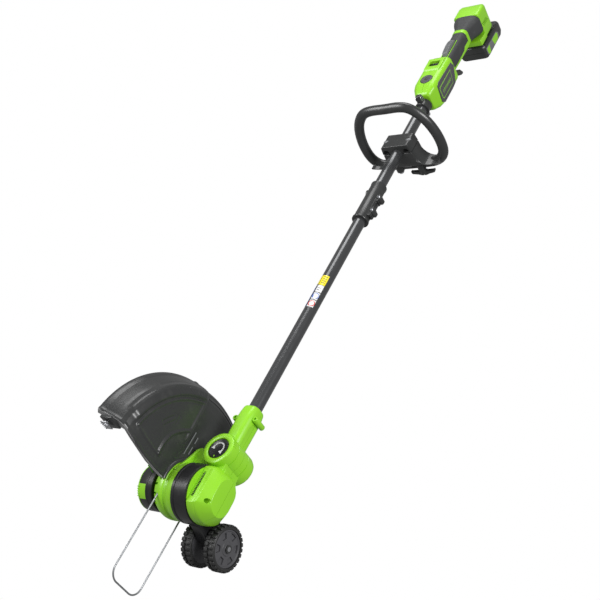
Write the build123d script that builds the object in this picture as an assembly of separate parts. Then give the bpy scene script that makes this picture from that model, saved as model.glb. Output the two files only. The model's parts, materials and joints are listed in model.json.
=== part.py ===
from build123d import *
import math
import os

# Cordless trimmer and lawn edger, standing in its edging pose on its two wheels.
# World frame: X to the motor's end-cover side, -Y the way it is pushed, Z up.
# The origin is on the ground under the wheel axle, in the plane of the shaft.
# Everything is drawn in the shaft's own frame and tilted into place at the end:
#   x = sideways, t = out of the front of the shaft, s = up along the shaft,
# with x = t = s = 0 where the shaft's axis crosses the head hinge's axis.

# ---- driving dimensions (mm, degrees) ----
SHAFT_LEAN = 43.0            # shaft from the vertical, in the edging pose
GAP = 0.3                    # air between pieces of different bodies
FIT = 0.1                    # air between pieces that are fixed together
RUN = 0.05                   # radial play of a running fit

TUBE_R = 12.5
TUBE_WALL = 1.2
LOWER_TUBE_START = 46.0
LOWER_TUBE_END = 640.0
UPPER_TUBE_LENGTH = 368.0    # it ends inside the switch housing
UPPER_TUBE_END = LOWER_TUBE_END + 2.0 + UPPER_TUBE_LENGTH

HINGE_R = 31.0
HINGE_FRONT = 33.0           # front face of the front ear, along t
HINGE_REAR = -44.0           # back face of the rear ear
KNUCKLE_FRONT = 13.4
KNUCKLE_REAR = -17.4
PARTING_T = -3.0             # plane where front and rear half shells meet
HINGE_PIN_R = 6.0
DIAL_R = 19.0
DIAL_THICK = 5.0
DIAL_PRESS = 3.0

MOTOR_S = -74.0              # motor axis, along s below the hinge
HOUSING_R = 50.0
HOUSING_WALL = 2.6
HOUSING_TOP = -33.4          # flat top of the motor housing, clear of the knuckle
RING_END_X = -83.0           # spool end of the green ring
BAND_X0 = -36.0              # black wheel-bracket band, along x
BAND_X1 = -2.0
BAND_R = 51.5
BAND_SEAT_R = 47.6
COVER_X = 38.0               # face of the motor's end cover
COVER_FLAT_T = 35.5          # the cover's two flat flanks
PLATE_X = 23.0               # side of the web between hinge and motor housing

SPOOL_R = 41.0
SPOOL_X0 = -125.0            # outer face of the spool cap
SPOOL_X1 = -91.0             # rim of the spool housing next to the ring

GUARD_R = 199.0
GUARD_SHOULDER_R = 181.0
GUARD_HUB_R = 51.5
GUARD_WALL = 2.6
GUARD_HUB_X = -58.0
GUARD_SHOULDER_X = -76.0
GUARD_RIM_X = -118.0
GUARD_START = 2.0            # degrees from the t direction towards s
GUARD_SWEEP = 133.0

WHEEL_R = 40.5
WHEEL_W = 21.0
WHEEL_GAP = 3.6              # wheel to arm
AXLE_R = 4.0
AXLE_S = -120.0
AXLE_T = -(WHEEL_R + 46.5)    # keeps the tyres clear of the band
ARM_W = 24.0
ARM_MID_X = -19.0

WIRE_R = 1.5
WIRE_HALF = 37.5             # half its width, to the wire's centre
WIRE_X = -67.0
WIRE_TOP = -90.0
WIRE_END = -260.0
WIRE_BEND = 20.0             # corner radius

SHELL_END = 104.0            # top of the green shell on the lower tube
SHELL_W = 18.0               # half width along x
SHELL_D = 19.5               # half depth along t
SHELL_CORNER = 8.0
COUPLER_S0 = LOWER_TUBE_END - 52.0
COUPLER_S1 = LOWER_TUBE_END + 53.0
COUPLER_R = TUBE_R + 4.0

CLAMP_S0 = LOWER_TUBE_END + 157.0
CLAMP_S1 = CLAMP_S0 + 42.0
CLAMP_HALF = 35.0
CLAMP_TOP = TUBE_R + 9.0
LOOP_S = CLAMP_S0 + 29.0
LOOP_R = 11.5
LOOP_HALF = 94.0             # centre line, half width
LOOP_TOP = 98.0
LOOP_BOTTOM = -50.0
HANDLE_BOLT_X = 27.0
HANDLE_BOLT_R = 3.0

COLLAR_S0 = UPPER_TUBE_END - 62.0
COLLAR_S1 = UPPER_TUBE_END - 42.0
COLLAR_R = TUBE_R + 4.5
EYE_R = 4.5                  # bore of the harness eyelet
EYE_T = COLLAR_R + 7.0

SWITCH_S0 = UPPER_TUBE_END - 40.0
SWITCH_S1 = SWITCH_S0 + 138.0
SWITCH_HALF = 29.0
SWITCH_FRONT = 35.0
SWITCH_REAR = -30.0
SHELL_WALL = 2.5
GRIP_S1 = SWITCH_S1 + 104.0
GRIP_HALF = 17.5
GRIP_DEEP = 20.5
OVER = 2.2                   # thickness of the soft overmould
RING_S1 = GRIP_S1 + 11.0
NECK_S1 = RING_S1 + 49.0
REAR_S1 = NECK_S1 + 54.0
REAR_HALF = 33.0
REAR_FRONT = 26.0
REAR_FOOT = -41.0
REAR_FOOT_S0 = NECK_S1 - 34.0

BATTERY_S0 = NECK_S1 - 35.0
BATTERY_S1 = BATTERY_S0 + 114.0
BATTERY_HALF = 37.0
BATTERY_FRONT = -42.0
BATTERY_REAR = -80.0
SCREW_R = 2.0
SCREW_HEAD_R = 3.6
SCREW_HEAD_H = 2.2

lean = math.radians(SHAFT_LEAN)
AXLE_Y = AXLE_S * math.sin(lean) - AXLE_T * math.cos(lean)
AXLE_Z = AXLE_S * math.cos(lean) + AXLE_T * math.sin(lean)
HINGE_AT = (0.0, -AXLE_Y, WHEEL_R - AXLE_Z)
NEAR_WHEEL_X = ARM_MID_X + ARM_W / 2 + WHEEL_GAP
FAR_WHEEL_X = ARM_MID_X - ARM_W / 2 - WHEEL_GAP - WHEEL_W


# ---- drawing helpers, all in the shaft's frame ----
def rod_x(r, x0, x1, t=0.0, s=0.0):
    return Pos((x0 + x1) / 2, -t, s) * Rot(Y=90) * Cylinder(r, x1 - x0)


def rod_t(r, t0, t1, x=0.0, s=0.0):
    return Pos(x, -(t0 + t1) / 2, s) * Rot(X=90) * Cylinder(r, t1 - t0)


def rod_s(r, s0, s1, x=0.0, t=0.0):
    return Pos(x, -t, (s0 + s1) / 2) * Cylinder(r, s1 - s0)


def block(x0, x1, t0, t1, s0, s1):
    return Pos((x0 + x1) / 2, -(t0 + t1) / 2, (s0 + s1) / 2) * Box(x1 - x0, t1 - t0, s1 - s0)


def soft_block(x0, x1, t0, t1, s0, s1, r):
    """A block with its edges along s rounded."""
    face = Pos((x0 + x1) / 2, -(t0 + t1) / 2, s0) * RectangleRounded(x1 - x0, t1 - t0, r)
    return extrude(face, s1 - s0, dir=(0, 0, 1))


def turned(profile, s=MOTOR_S, arc=360.0, start=0.0):
    """Turn (x, radius) points about the motor's axis; start is from t towards s."""
    face = make_face(Polyline([(x, -r, 0) for x, r in profile], close=True))
    solid = revolve(face, Axis.X, arc)
    return Pos(0, 0, s) * Rot(X=-arc - start) * solid


def slab_x(points, x0, x1):
    """Extrude (t, s) points along x."""
    face = make_face(Polyline([(x0, -t, s) for t, s in points], close=True))
    return extrude(face, x1 - x0, dir=(1, 0, 0))


def slab_s(points, s0, s1):
    """Extrude (x, t) points along s."""
    face = make_face(Polyline([(x, -t, s0) for x, t in points], close=True))
    return extrude(face, s1 - s0, dir=(0, 0, 1))


def lofted(sections):
    """Rounded sections (s, x0, x1, t0, t1, r) joined along the shaft."""
    faces = []
    for s, x0, x1, t0, t1, r in sections:
        faces.append(Pos((x0 + x1) / 2, -(t0 + t1) / 2, s) * RectangleRounded(x1 - x0, t1 - t0, r))
    return loft(faces, ruled=True)


def screw_t(x, s, t_head, length):
    """Screw along t: its head's outer face is at t_head and its tip is further forward."""
    head = rod_t(SCREW_HEAD_R, t_head, t_head + SCREW_HEAD_H, x, s)
    return head + rod_t(SCREW_R, t_head + SCREW_HEAD_H, t_head + length, x, s)


def screw_x(t, s, x_head, length):
    """Screw along x: its head's outer face is at x_head and its tip is at smaller x."""
    head = rod_x(SCREW_HEAD_R, x_head - SCREW_HEAD_H, x_head, t, s)
    return head + rod_x(SCREW_R, x_head - length, x_head - SCREW_HEAD_H, t, s)


def joined(shapes):
    total = None
    for shape in shapes:
        total = shape if total is None else total + shape
    return total


def spun(shape, count, t=0.0, s=MOTOR_S):
    """Copies of a shape turned round an axis along x."""
    centre = Pos(0, -t, s)
    return [centre * Rot(X=360 / count * k) * centre.inverse() * shape for k in range(count)]


def save(name, shape):
    placed = Location(HINGE_AT) * Rot(X=-SHAFT_LEAN) * shape
    solids = placed.solids()
    body = Compound(children=list(solids)) if len(solids) > 1 else solids[0]
    body.label = name
    export_step(body, f"parts/{name}.step")
    print(name, len(solids), round(placed.volume))


# ---- head: motor housing ----
POST_PLACES = [(27.0, -100.0), (-45.0, -40.5), (-45.0, -111.0)]     # (x, s) of its screw posts
POST_R = 4.6
SCREW_SEAT_T = -14.0
STATOR_R = 30.0
ROTOR_R = 18.0
SHAFT_R = 4.0
BEARING_R = 11.0


def flats_cut(body, inset):
    """The flat top that faces the hinge and the two flat flanks of the end cover."""
    body -= block(-200, 100, -90, 90, HOUSING_TOP - inset, 60)
    flank = COVER_FLAT_T - inset
    body -= block(BAND_X1 + FIT + inset, 100, flank, 90, -200, 60)
    body -= block(BAND_X1 + FIT + inset, 100, -90, -flank, -200, 60)
    return body


def housing_outline():
    profile = [(RING_END_X, 0), (RING_END_X, 42), (-76, 47), (-66, HOUSING_R), (-58, HOUSING_R),
               (-55, 48.2), (-50, 48.2), (-47, HOUSING_R), (BAND_X0 - FIT, HOUSING_R),
               (BAND_X0 - FIT, BAND_SEAT_R), (BAND_X1 + FIT, BAND_SEAT_R), (BAND_X1 + FIT, HOUSING_R),
               (10, 48.5), (26, 43), (COVER_X, 31), (COVER_X, 0)]
    return flats_cut(turned(profile), 0)


def housing_cavity():
    inner = BAND_SEAT_R - HOUSING_WALL
    end = COVER_X - HOUSING_WALL
    profile = [(RING_END_X + HOUSING_WALL, 0), (RING_END_X + HOUSING_WALL, 39.5), (-68, inner),
               (8, inner), (24, 40), (end, 29), (end, 0)]
    return flats_cut(turned(profile), HOUSING_WALL)


def head_shell():
    shell = housing_outline() + block(-50, PLATE_X, -24, 21, HOUSING_TOP - 1, -20)
    shell += rod_t(HINGE_R, KNUCKLE_FRONT + GAP, HINGE_FRONT)
    shell += rod_t(HINGE_R, HINGE_REAR, KNUCKLE_REAR - GAP)
    shell += slab_x([(-34, -70), (34, -70), (30, -4), (-30, -4)], -56.0, -50.0)
    shell -= housing_cavity()
    shell -= rod_t(HINGE_R + GAP, KNUCKLE_REAR - GAP, KNUCKLE_FRONT + GAP)
    shell -= rod_t(DIAL_R + GAP, HINGE_FRONT - DIAL_THICK - DIAL_PRESS - GAP, HINGE_FRONT + 1)
    shell -= rod_t(HINGE_PIN_R + FIT, HINGE_REAR + 6, HINGE_FRONT)
    shell -= rod_x(9.0, RING_END_X - 2, RING_END_X + 8, 0, MOTOR_S)
    slot = block(-81, -71, -2.2, 2.2, MOTOR_S + 35, MOTOR_S + 60)
    shell -= joined(spun(slot, 18)[3:16])
    shell -= block(3, 7, 25, 40, -92, -54) + block(3, 7, -40, -25, -92, -54)
    for side in (1, -1):
        shell -= rod_s(WIRE_R + GAP, -135, -44, WIRE_X, side * WIRE_HALF)
    return shell


def head_half(front):
    room = housing_outline()
    if front:
        half = block(-150, 80, PARTING_T + FIT / 2, 120, -200, 60)
        posts = joined(rod_t(POST_R, PARTING_T + FIT / 2, 24, x, s) & room for x, s in POST_PLACES)
        bores = joined(rod_t(SCREW_R, -20, 14, x, s) for x, s in POST_PLACES)
    else:
        half = block(-150, 80, -120, PARTING_T - FIT / 2, -200, 60)
        posts = joined(rod_t(POST_R, -26, PARTING_T - FIT / 2, x, s) & room for x, s in POST_PLACES)
        bores = joined(rod_t(SCREW_R + FIT, -60, 20, x, s) for x, s in POST_PLACES)
        seats = [rod_t(SCREW_HEAD_R + FIT, -80, SCREW_SEAT_T + SCREW_HEAD_H, x, s) for x, s in POST_PLACES]
        bores += joined(seats)
    return (head_shell() & half) + posts - bores


def motor_parts():
    core = rod_x(ROTOR_R + 0.6, -60, 60, 0, MOTOR_S)
    can = rod_x(STATOR_R, -30, 14, 0, MOTOR_S) - core
    can += rod_x(STATOR_R, 14, 19, 0, MOTOR_S) + rod_x(STATOR_R, -36, -30, 0, MOTOR_S)
    seats = rod_x(BEARING_R, 14, 19, 0, MOTOR_S) + rod_x(BEARING_R, -36, -30, 0, MOTOR_S)
    save("motor_stator", can - seats)
    save("motor_bearings", seats - rod_x(SHAFT_R + RUN, -60, 60, 0, MOTOR_S))
    save("motor_shaft", rod_x(SHAFT_R, SPOOL_X0 + 8, 22, 0, MOTOR_S))
    save("motor_rotor", rod_x(ROTOR_R, -28, 12, 0, MOTOR_S) - rod_x(SHAFT_R, -60, 60, 0, MOTOR_S))
    blade = block(-50, -40, -1, 1, MOTOR_S + 8, MOTOR_S + 27)
    fan = rod_x(9, -50, -40, 0, MOTOR_S) + joined(spun(blade, 9))
    save("cooling_fan", fan - rod_x(SHAFT_R, -60, -30, 0, MOTOR_S))


# ---- head: hinge, guard and wheel bracket ----
def hinge_parts():
    pin_front = HINGE_FRONT - DIAL_THICK - DIAL_PRESS - 3
    save("hinge_pin", rod_t(HINGE_PIN_R, HINGE_REAR + 6 + FIT, pin_front))
    save("tilt_button", rod_t(DIAL_R, HINGE_FRONT - DIAL_THICK, HINGE_FRONT - 0.6))


def guard_depth(inset):
    """Outer outline of the guard in (x, radius), moved inwards by its wall."""
    return [(GUARD_HUB_X - inset, GUARD_HUB_R), (GUARD_HUB_X - 6 - inset, 150),
            (GUARD_SHOULDER_X - inset, GUARD_SHOULDER_R - inset), (GUARD_RIM_X, GUARD_R - inset)]


def guard_end(start):
    """Upright wall along one straight edge of the guard."""
    deep = [(GUARD_RIM_X, GUARD_R - 18), (GUARD_HUB_X - 20, 150), (GUARD_HUB_X - 12, GUARD_HUB_R)]
    return turned(guard_depth(0) + deep, arc=1.2, start=start)


GUARD_SCREWS_T = (-15.0, 15.0)
GUARD_SCREW_S = -12.0
BLADE_PLACE = (172.0, 192.0)          # along t, where the line is cut off


def guard_parts():
    outer = guard_depth(0)
    inner = guard_depth(GUARD_WALL)
    shell = turned(outer + inner[::-1], arc=GUARD_SWEEP, start=GUARD_START)
    shell += guard_end(GUARD_START) + guard_end(GUARD_START + GUARD_SWEEP - 1.2)
    blade_t0, blade_t1 = BLADE_PLACE
    seat_s = MOTOR_S + 1.0
    shell += block(-104, -82, blade_t0 - 4, blade_t1 + 2, seat_s, seat_s + 10)
    blade = block(-106, -92, blade_t0, blade_t1, seat_s - 1.6, seat_s - FIT / 2)
    holes = [rod_x(SCREW_R + FIT, -80, -40, t, GUARD_SCREW_S) for t in GUARD_SCREWS_T]
    shell -= joined(holes)
    blade_screw_t = (blade_t0 + blade_t1) / 2
    shell -= rod_s(SCREW_R, -90, seat_s + 9, -97, blade_screw_t)
    blade -= rod_s(SCREW_R + FIT, -90, seat_s + 9, -97, blade_screw_t)
    save("guard", shell)
    save("cutoff_blade", blade)
    screws = [screw_x(t, GUARD_SCREW_S, -47.0, 17) for t in GUARD_SCREWS_T]
    blade_screw = rod_s(SCREW_HEAD_R, seat_s - 3.8, seat_s - 1.6 - FIT / 2, -97, blade_screw_t)
    blade_screw += rod_s(SCREW_R, seat_s - 1.6 - FIT / 2, seat_s + 8, -97, blade_screw_t)
    save("guard_screws", joined(screws) + blade_screw)
    return joined(rod_x(SCREW_R + FIT, -80, -40, t, GUARD_SCREW_S) +
                  rod_x(SCREW_HEAD_R + FIT, -50, -40, t, GUARD_SCREW_S) for t in GUARD_SCREWS_T)


def wheel_bracket():
    band = turned([(BAND_X0, BAND_SEAT_R + FIT), (BAND_X0, BAND_R), (BAND_X0 + 4, BAND_R),
                   (BAND_X0 + 6, BAND_R - 1.4), (BAND_X0 + 9, BAND_R), (BAND_X1, BAND_R),
                   (BAND_X1, BAND_SEAT_R + FIT)])
    band -= block(-90, 60, -90, 90, HOUSING_TOP, 60)
    x0, x1 = ARM_MID_X - ARM_W / 2, ARM_MID_X + ARM_W / 2
    reach = math.hypot(AXLE_T, AXLE_S - MOTOR_S)
    ut, us = AXLE_T / reach, (AXLE_S - MOTOR_S) / reach
    foot = 12.0
    shoulder = 27.0
    start = 44.0
    corners = [(start * ut - shoulder * us, MOTOR_S + start * us + shoulder * ut),
               (AXLE_T - foot * us, AXLE_S + foot * ut), (AXLE_T + foot * us, AXLE_S - foot * ut),
               (start * ut + shoulder * us, MOTOR_S + start * us - shoulder * ut)]
    arm = slab_x(corners, x0, x1) + rod_x(foot, x0, x1, AXLE_T, AXLE_S)
    arm -= rod_x(BAND_SEAT_R + FIT, -100, 100, 0, MOTOR_S)
    arm -= rod_x(AXLE_R + FIT, -100, 100, AXLE_T, AXLE_S)
    save("wheel_bracket", band + arm)


# ---- wheels ----
HUB_R = 33.0
POCKET_R = 6.5
POCKET_REACH = 22.0
POCKET_DEEP = 7.0
BOSS_R = 10.0
TREAD_DEEP = 2.6
TREAD_COUNT = 26


def wheel(name, x0):
    x1 = x0 + WHEEL_W
    hub = rod_x(HUB_R, x0 + 1.5, x1 - 1.5, AXLE_T, AXLE_S)
    hub -= rod_x(AXLE_R + RUN, x0 - 5, x1 + 5, AXLE_T, AXLE_S)
    pocket = rod_x(POCKET_R, x1 - POCKET_DEEP, x1 + 1, AXLE_T, AXLE_S + POCKET_REACH)
    pocket += rod_x(POCKET_R, x0 - 1, x0 + POCKET_DEEP, AXLE_T, AXLE_S + POCKET_REACH)
    hub -= joined(spun(pocket, 6, AXLE_T, AXLE_S))
    hub += (rod_x(BOSS_R, x1 - 3, x1, AXLE_T, AXLE_S) + rod_x(BOSS_R, x0, x0 + 3, AXLE_T, AXLE_S)
            - rod_x(AXLE_R + RUN, x0 - 5, x1 + 5, AXLE_T, AXLE_S))
    tyre = rod_x(WHEEL_R, x0, x1, AXLE_T, AXLE_S) - rod_x(HUB_R + FIT / 2, x0 - 1, x1 + 1, AXLE_T, AXLE_S)
    top = AXLE_S + WHEEL_R
    groove_a = block(x0 - 1, x0 + 8, AXLE_T - 1.4, AXLE_T + 1.4, top - TREAD_DEEP, top + 2)
    groove_b = block(x1 - 8, x1 + 1, AXLE_T - 1.4, AXLE_T + 1.4, top - TREAD_DEEP, top + 2)
    half_turn = Pos(0, -AXLE_T, AXLE_S) * Rot(X=180 / TREAD_COUNT) * Pos(0, AXLE_T, -AXLE_S)
    tyre -= joined(spun(groove_a + half_turn * groove_b, TREAD_COUNT, AXLE_T, AXLE_S))
    save("wheel_hub_" + name, hub)
    save("tyre_" + name, tyre)


def axle_parts():
    x0, x1 = FAR_WHEEL_X - 2.6, NEAR_WHEEL_X + WHEEL_W + 2.6
    save("wheel_axle", rod_x(AXLE_R, x0, x1, AXLE_T, AXLE_S))
    clip = rod_x(7, x0 + 0.4, x0 + 2.2, AXLE_T, AXLE_S) + rod_x(7, x1 - 2.2, x1 - 0.4, AXLE_T, AXLE_S)
    save("axle_clips", clip - rod_x(AXLE_R, -100, 100, AXLE_T, AXLE_S))


# ---- cutting spool ----
TAB_SPREAD = 13.0
TAB_ANGLE = -43.0             # from t towards s
LINE_ANGLE = 8.0
LINE_X = -102.0
LINE_R = 1.0
LINE_OUT = 88.0               # reach of the rear strand from the motor's axis
LINE_WORN = 58.0              # reach of the front strand, worn shorter


def about_motor(angle):
    """Turn about the motor's axis, from t towards s."""
    return Pos(0, 0, MOTOR_S) * Rot(X=-angle) * Pos(0, 0, -MOTOR_S)


def spool_parts():
    rim = SPOOL_X0 + 3.0
    tab_turn = about_motor(TAB_ANGLE)
    line_turn = about_motor(LINE_ANGLE)
    cup = rod_x(SPOOL_R, rim, SPOOL_X1, 0, MOTOR_S) - rod_x(SPOOL_R - 2.5, rim - 1, SPOOL_X1 - 3, 0, MOTOR_S)
    cup -= rod_x(SHAFT_R, -150, 0, 0, MOTOR_S)
    tabs = block(SPOOL_X0, SPOOL_X0 + 20, -60, 60, MOTOR_S - TAB_SPREAD, MOTOR_S + TAB_SPREAD)
    windows = block(rim - 1, SPOOL_X0 + 20 + FIT, -60, 60, MOTOR_S - TAB_SPREAD - FIT, MOTOR_S + TAB_SPREAD + FIT)
    tabs, windows = tab_turn * tabs, tab_turn * windows
    reach = SPOOL_R + 1.5
    eyelets = line_turn * (rod_t(4, 36, reach, LINE_X, MOTOR_S) + rod_t(4, -reach, -36, LINE_X, MOTOR_S))
    line_way = line_turn * rod_t(LINE_R + 0.4, -60, 60, LINE_X, MOTOR_S)
    save("spool_housing", cup - windows - eyelets)
    save("line_eyelets", eyelets - line_way)
    wall = rod_x(SPOOL_R, SPOOL_X0, SPOOL_X0 + 20, 0, MOTOR_S) - rod_x(SPOOL_R - 2.5, -200, 0, 0, MOTOR_S)
    cap = rod_x(SPOOL_R, SPOOL_X0, rim - FIT, 0, MOTOR_S) + (wall & tabs)
    save("spool_cap", cap)
    core = rod_x(16, rim + 1, SPOOL_X1 - 4, 0, MOTOR_S)
    core += rod_x(34, rim + 1, rim + 3, 0, MOTOR_S) + rod_x(34, SPOOL_X1 - 7, SPOOL_X1 - 4, 0, MOTOR_S)
    save("line_spool", core - rod_x(SHAFT_R, -150, 0, 0, MOTOR_S))
    wound = rod_x(30, rim + 3, SPOOL_X1 - 7, 0, MOTOR_S) - rod_x(16, -150, 0, 0, MOTOR_S)
    strands = rod_t(LINE_R, 29, LINE_WORN, LINE_X, MOTOR_S) + rod_t(LINE_R, -LINE_OUT, -29, LINE_X, MOTOR_S)
    save("cutting_line", wound + line_turn * strands)


def wire_guard():
    path = FilletPolyline((WIRE_X, -WIRE_HALF, WIRE_TOP), (WIRE_X, -WIRE_HALF, WIRE_END),
                          (WIRE_X, WIRE_HALF, WIRE_END), (WIRE_X, WIRE_HALF, WIRE_TOP), radius=WIRE_BEND)
    section = Plane((WIRE_X, -WIRE_HALF, WIRE_TOP), z_dir=(0, 0, -1)) * Circle(WIRE_R)
    save("wire_guard", sweep(section, path=path))


# ---- lower shaft ----
def lower_shell():
    shell = rod_t(HINGE_R, KNUCKLE_REAR, KNUCKLE_FRONT)
    shell += soft_block(-SHELL_W, SHELL_W, -SHELL_D, SHELL_D, 20, SHELL_END - 22, SHELL_CORNER)
    mouth = TUBE_R + 4.0
    shell += lofted([(SHELL_END - 22, -SHELL_W, SHELL_W, -SHELL_D, SHELL_D, SHELL_CORNER),
                     (SHELL_END, -mouth, mouth, -mouth, mouth, SHELL_CORNER)])
    for x, s in SHELL_SCREWS:
        shell += rod_t(SCREW_HEAD_R + 1.7, -16, 12, x, s)
    # the two ears of the head swing past the bottom of this shell
    ear_room = rod_t(HINGE_R + GAP, KNUCKLE_FRONT, 60) + rod_t(HINGE_R + GAP, -60, KNUCKLE_REAR)
    shell -= ear_room
    shell -= rod_s(TUBE_R + FIT, LOWER_TUBE_START - FIT, 200)
    shell -= rod_t(HINGE_PIN_R + RUN, -60, 60)
    shell -= rod_s(5, -2, 60)
    shell -= rod_t(HINGE_R - 8, -8, 4) - rod_t(HINGE_PIN_R + 5, -9, 5)
    return shell


SHELL_SCREWS = [(SHELL_W + 4, SHELL_END - 25), (-SHELL_W - 4, SHELL_END - 25)]   # (x, s)


def lower_shell_parts():
    shell = lower_shell()
    front_bores = joined(rod_t(SCREW_R, -20, 8, x, s) for x, s in SHELL_SCREWS)
    rear_bores = joined(rod_t(SCREW_R + FIT, -20, 20, x, s) for x, s in SHELL_SCREWS)
    rear_bores += joined(rod_t(SCREW_HEAD_R + FIT, -40, -12.8, x, s) for x, s in SHELL_SCREWS)
    front = (shell & block(-60, 60, PARTING_T + FIT / 2, 60, -60, 200)) - front_bores
    rear = (shell & block(-60, 60, -60, PARTING_T - FIT / 2, -60, 200)) - rear_bores
    save("lower_shell_front", front)
    save("lower_shell_rear", rear)
    save("lower_shell_screws", joined(screw_t(x, s, -15, 20) for x, s in SHELL_SCREWS))
    tube = rod_s(TUBE_R, LOWER_TUBE_START, LOWER_TUBE_END) - rod_s(TUBE_R - TUBE_WALL, 0, LOWER_TUBE_END + 10)
    save("lower_tube", tube)


# ---- coupler and upper tube ----
COUPLER_BOLTS_S = (LOWER_TUBE_END - 28.0, LOWER_TUBE_END + 10.0)
COUPLER_EAR_X = COUPLER_R + 5.5
COUPLER_BUTTON_S = LOWER_TUBE_END + 32.0
BUTTON_PRESS = 2.5
CABLE_R = 3.5


def coupler_parts():
    sleeve = rod_s(COUPLER_R, COUPLER_S0, COUPLER_S1) + rod_s(COUPLER_R + 1.5, COUPLER_S0, COUPLER_S0 + 6)
    sleeve += rod_s(COUPLER_R + 1.5, COUPLER_S1 - 6, COUPLER_S1)
    sleeve += block(10, COUPLER_EAR_X, -8, 8, COUPLER_S0 + 10, COUPLER_BOLTS_S[1] + 8)
    for s in COUPLER_BOLTS_S:
        sleeve += rod_t(6.5, -8, 8, COUPLER_EAR_X, s)
    sleeve += rod_x(8, -COUPLER_R - 3, -8, 0, COUPLER_BUTTON_S)
    sleeve -= rod_s(TUBE_R + RUN, 0, LOWER_TUBE_END + 1) + rod_s(TUBE_R + FIT, LOWER_TUBE_END, COUPLER_S1 + 10)
    sleeve -= block(10, 40, -1, 1, COUPLER_S0 - 5, COUPLER_BOLTS_S[1] + 20)
    for s in COUPLER_BOLTS_S:
        sleeve -= rod_t(SCREW_R + FIT, -20, 20, COUPLER_EAR_X, s)
    sleeve -= rod_x(5 + GAP, -40, -TUBE_R - 1, 0, COUPLER_BUTTON_S)
    save("coupler_sleeve", sleeve)
    bolts = []
    for s in COUPLER_BOLTS_S:
        bolts.append(rod_t(SCREW_R, -11, 8, COUPLER_EAR_X, s) + rod_t(SCREW_HEAD_R, 8, 10.5, COUPLER_EAR_X, s)
                     + rod_t(SCREW_HEAD_R, -11, -8, COUPLER_EAR_X, s))
    save("coupler_bolts", joined(bolts))
    save("coupler_button", rod_x(5, -COUPLER_R - 3 - BUTTON_PRESS, -TUBE_R - 1 - BUTTON_PRESS, 0,
                                 COUPLER_BUTTON_S))


def upper_tube():
    tube = rod_s(TUBE_R, LOWER_TUBE_END + 2, UPPER_TUBE_END) - rod_s(TUBE_R - TUBE_WALL, 0, UPPER_TUBE_END + 10)
    save("upper_tube", tube)
    save("motor_cable", rod_s(CABLE_R, LOWER_TUBE_START + 14, UPPER_TUBE_END + 30))


# ---- loop handle ----
WING_HALF = 30.0


def loop_path():
    points = [(30, LOOP_BOTTOM), (74, LOOP_BOTTOM + 2), (LOOP_HALF, -18), (LOOP_HALF - 2, 48),
              (56, LOOP_TOP), (-56, LOOP_TOP), (-LOOP_HALF + 2, 48), (-LOOP_HALF, -18),
              (-74, LOOP_BOTTOM + 2), (-30, LOOP_BOTTOM)]
    corners = [(x, -t, LOOP_S) for x, t in points]
    return FilletPolyline(*corners, radius=[12, 20, 24, 30, 30, 24, 20, 12])


def loop_parts():
    path = loop_path()
    section = Plane((30, -LOOP_BOTTOM, LOOP_S), z_dir=(1, 0, 0)) * Circle(LOOP_R)
    loop = sweep(section, path=path)
    base = [(-CLAMP_HALF, -0.5), (-CLAMP_HALF - 1, -22), (-54, -40), (-70, -40), (-66, -LOOP_R + LOOP_BOTTOM),
            (66, -LOOP_R + LOOP_BOTTOM), (70, -40), (54, -40), (CLAMP_HALF + 1, -22), (CLAMP_HALF, -0.5)]
    saddle = slab_s(base, CLAMP_S0, CLAMP_S1)
    saddle -= slab_s([(-20, -18), (-40, -48), (40, -48), (20, -18)], CLAMP_S0 - 1, CLAMP_S1 - 30)
    handle = loop + saddle - rod_s(TUBE_R + RUN, CLAMP_S0 - 40, CLAMP_S1 + 40)
    middle = (CLAMP_S0 + CLAMP_S1) / 2
    bolt_s = middle
    handle -= rod_t(HANDLE_BOLT_R + FIT, -80, 10, HANDLE_BOLT_X, bolt_s)
    handle -= rod_t(HANDLE_BOLT_R + FIT, -80, 10, -HANDLE_BOLT_X, bolt_s)
    save("loop_handle", handle)
    clamp = soft_block(-CLAMP_HALF, CLAMP_HALF, 0.5, CLAMP_TOP, CLAMP_S0, CLAMP_S1, 3)
    clamp -= rod_s(TUBE_R + RUN, CLAMP_S0 - 40, CLAMP_S1 + 40)
    knob_top = LOOP_BOTTOM - LOOP_R - GAP
    nuts = []
    for side in (1, -1):
        x = side * HANDLE_BOLT_X
        clamp -= rod_t(HANDLE_BOLT_R + FIT, 0, 30, x, bolt_s)
        clamp -= rod_t(6.5, CLAMP_TOP - 5, 30, x, bolt_s)
        nuts.append(rod_t(6.3, CLAMP_TOP - 5, CLAMP_TOP - 1, x, bolt_s))
    save("handle_clamp", clamp)
    long_bolt = rod_t(HANDLE_BOLT_R, knob_top - 12, CLAMP_TOP - 5, HANDLE_BOLT_X, bolt_s) + nuts[0]
    short_bolt = rod_t(HANDLE_BOLT_R, knob_top - 1, CLAMP_TOP - 5, -HANDLE_BOLT_X, bolt_s) + nuts[1]
    short_bolt += rod_t(5.5, knob_top - 5, knob_top - 0.1, -HANDLE_BOLT_X, bolt_s)
    save("handle_bolts", long_bolt + short_bolt)
    knob = rod_t(8, knob_top - 11, knob_top, HANDLE_BOLT_X, bolt_s)
    wing = block(HANDLE_BOLT_X - WING_HALF, HANDLE_BOLT_X + WING_HALF, knob_top - 16, knob_top - 4, bolt_s - 2.5,
                 bolt_s + 2.5)
    save("wing_knob", knob + wing - rod_t(HANDLE_BOLT_R + RUN, -120, -20, HANDLE_BOLT_X, bolt_s))


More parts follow.
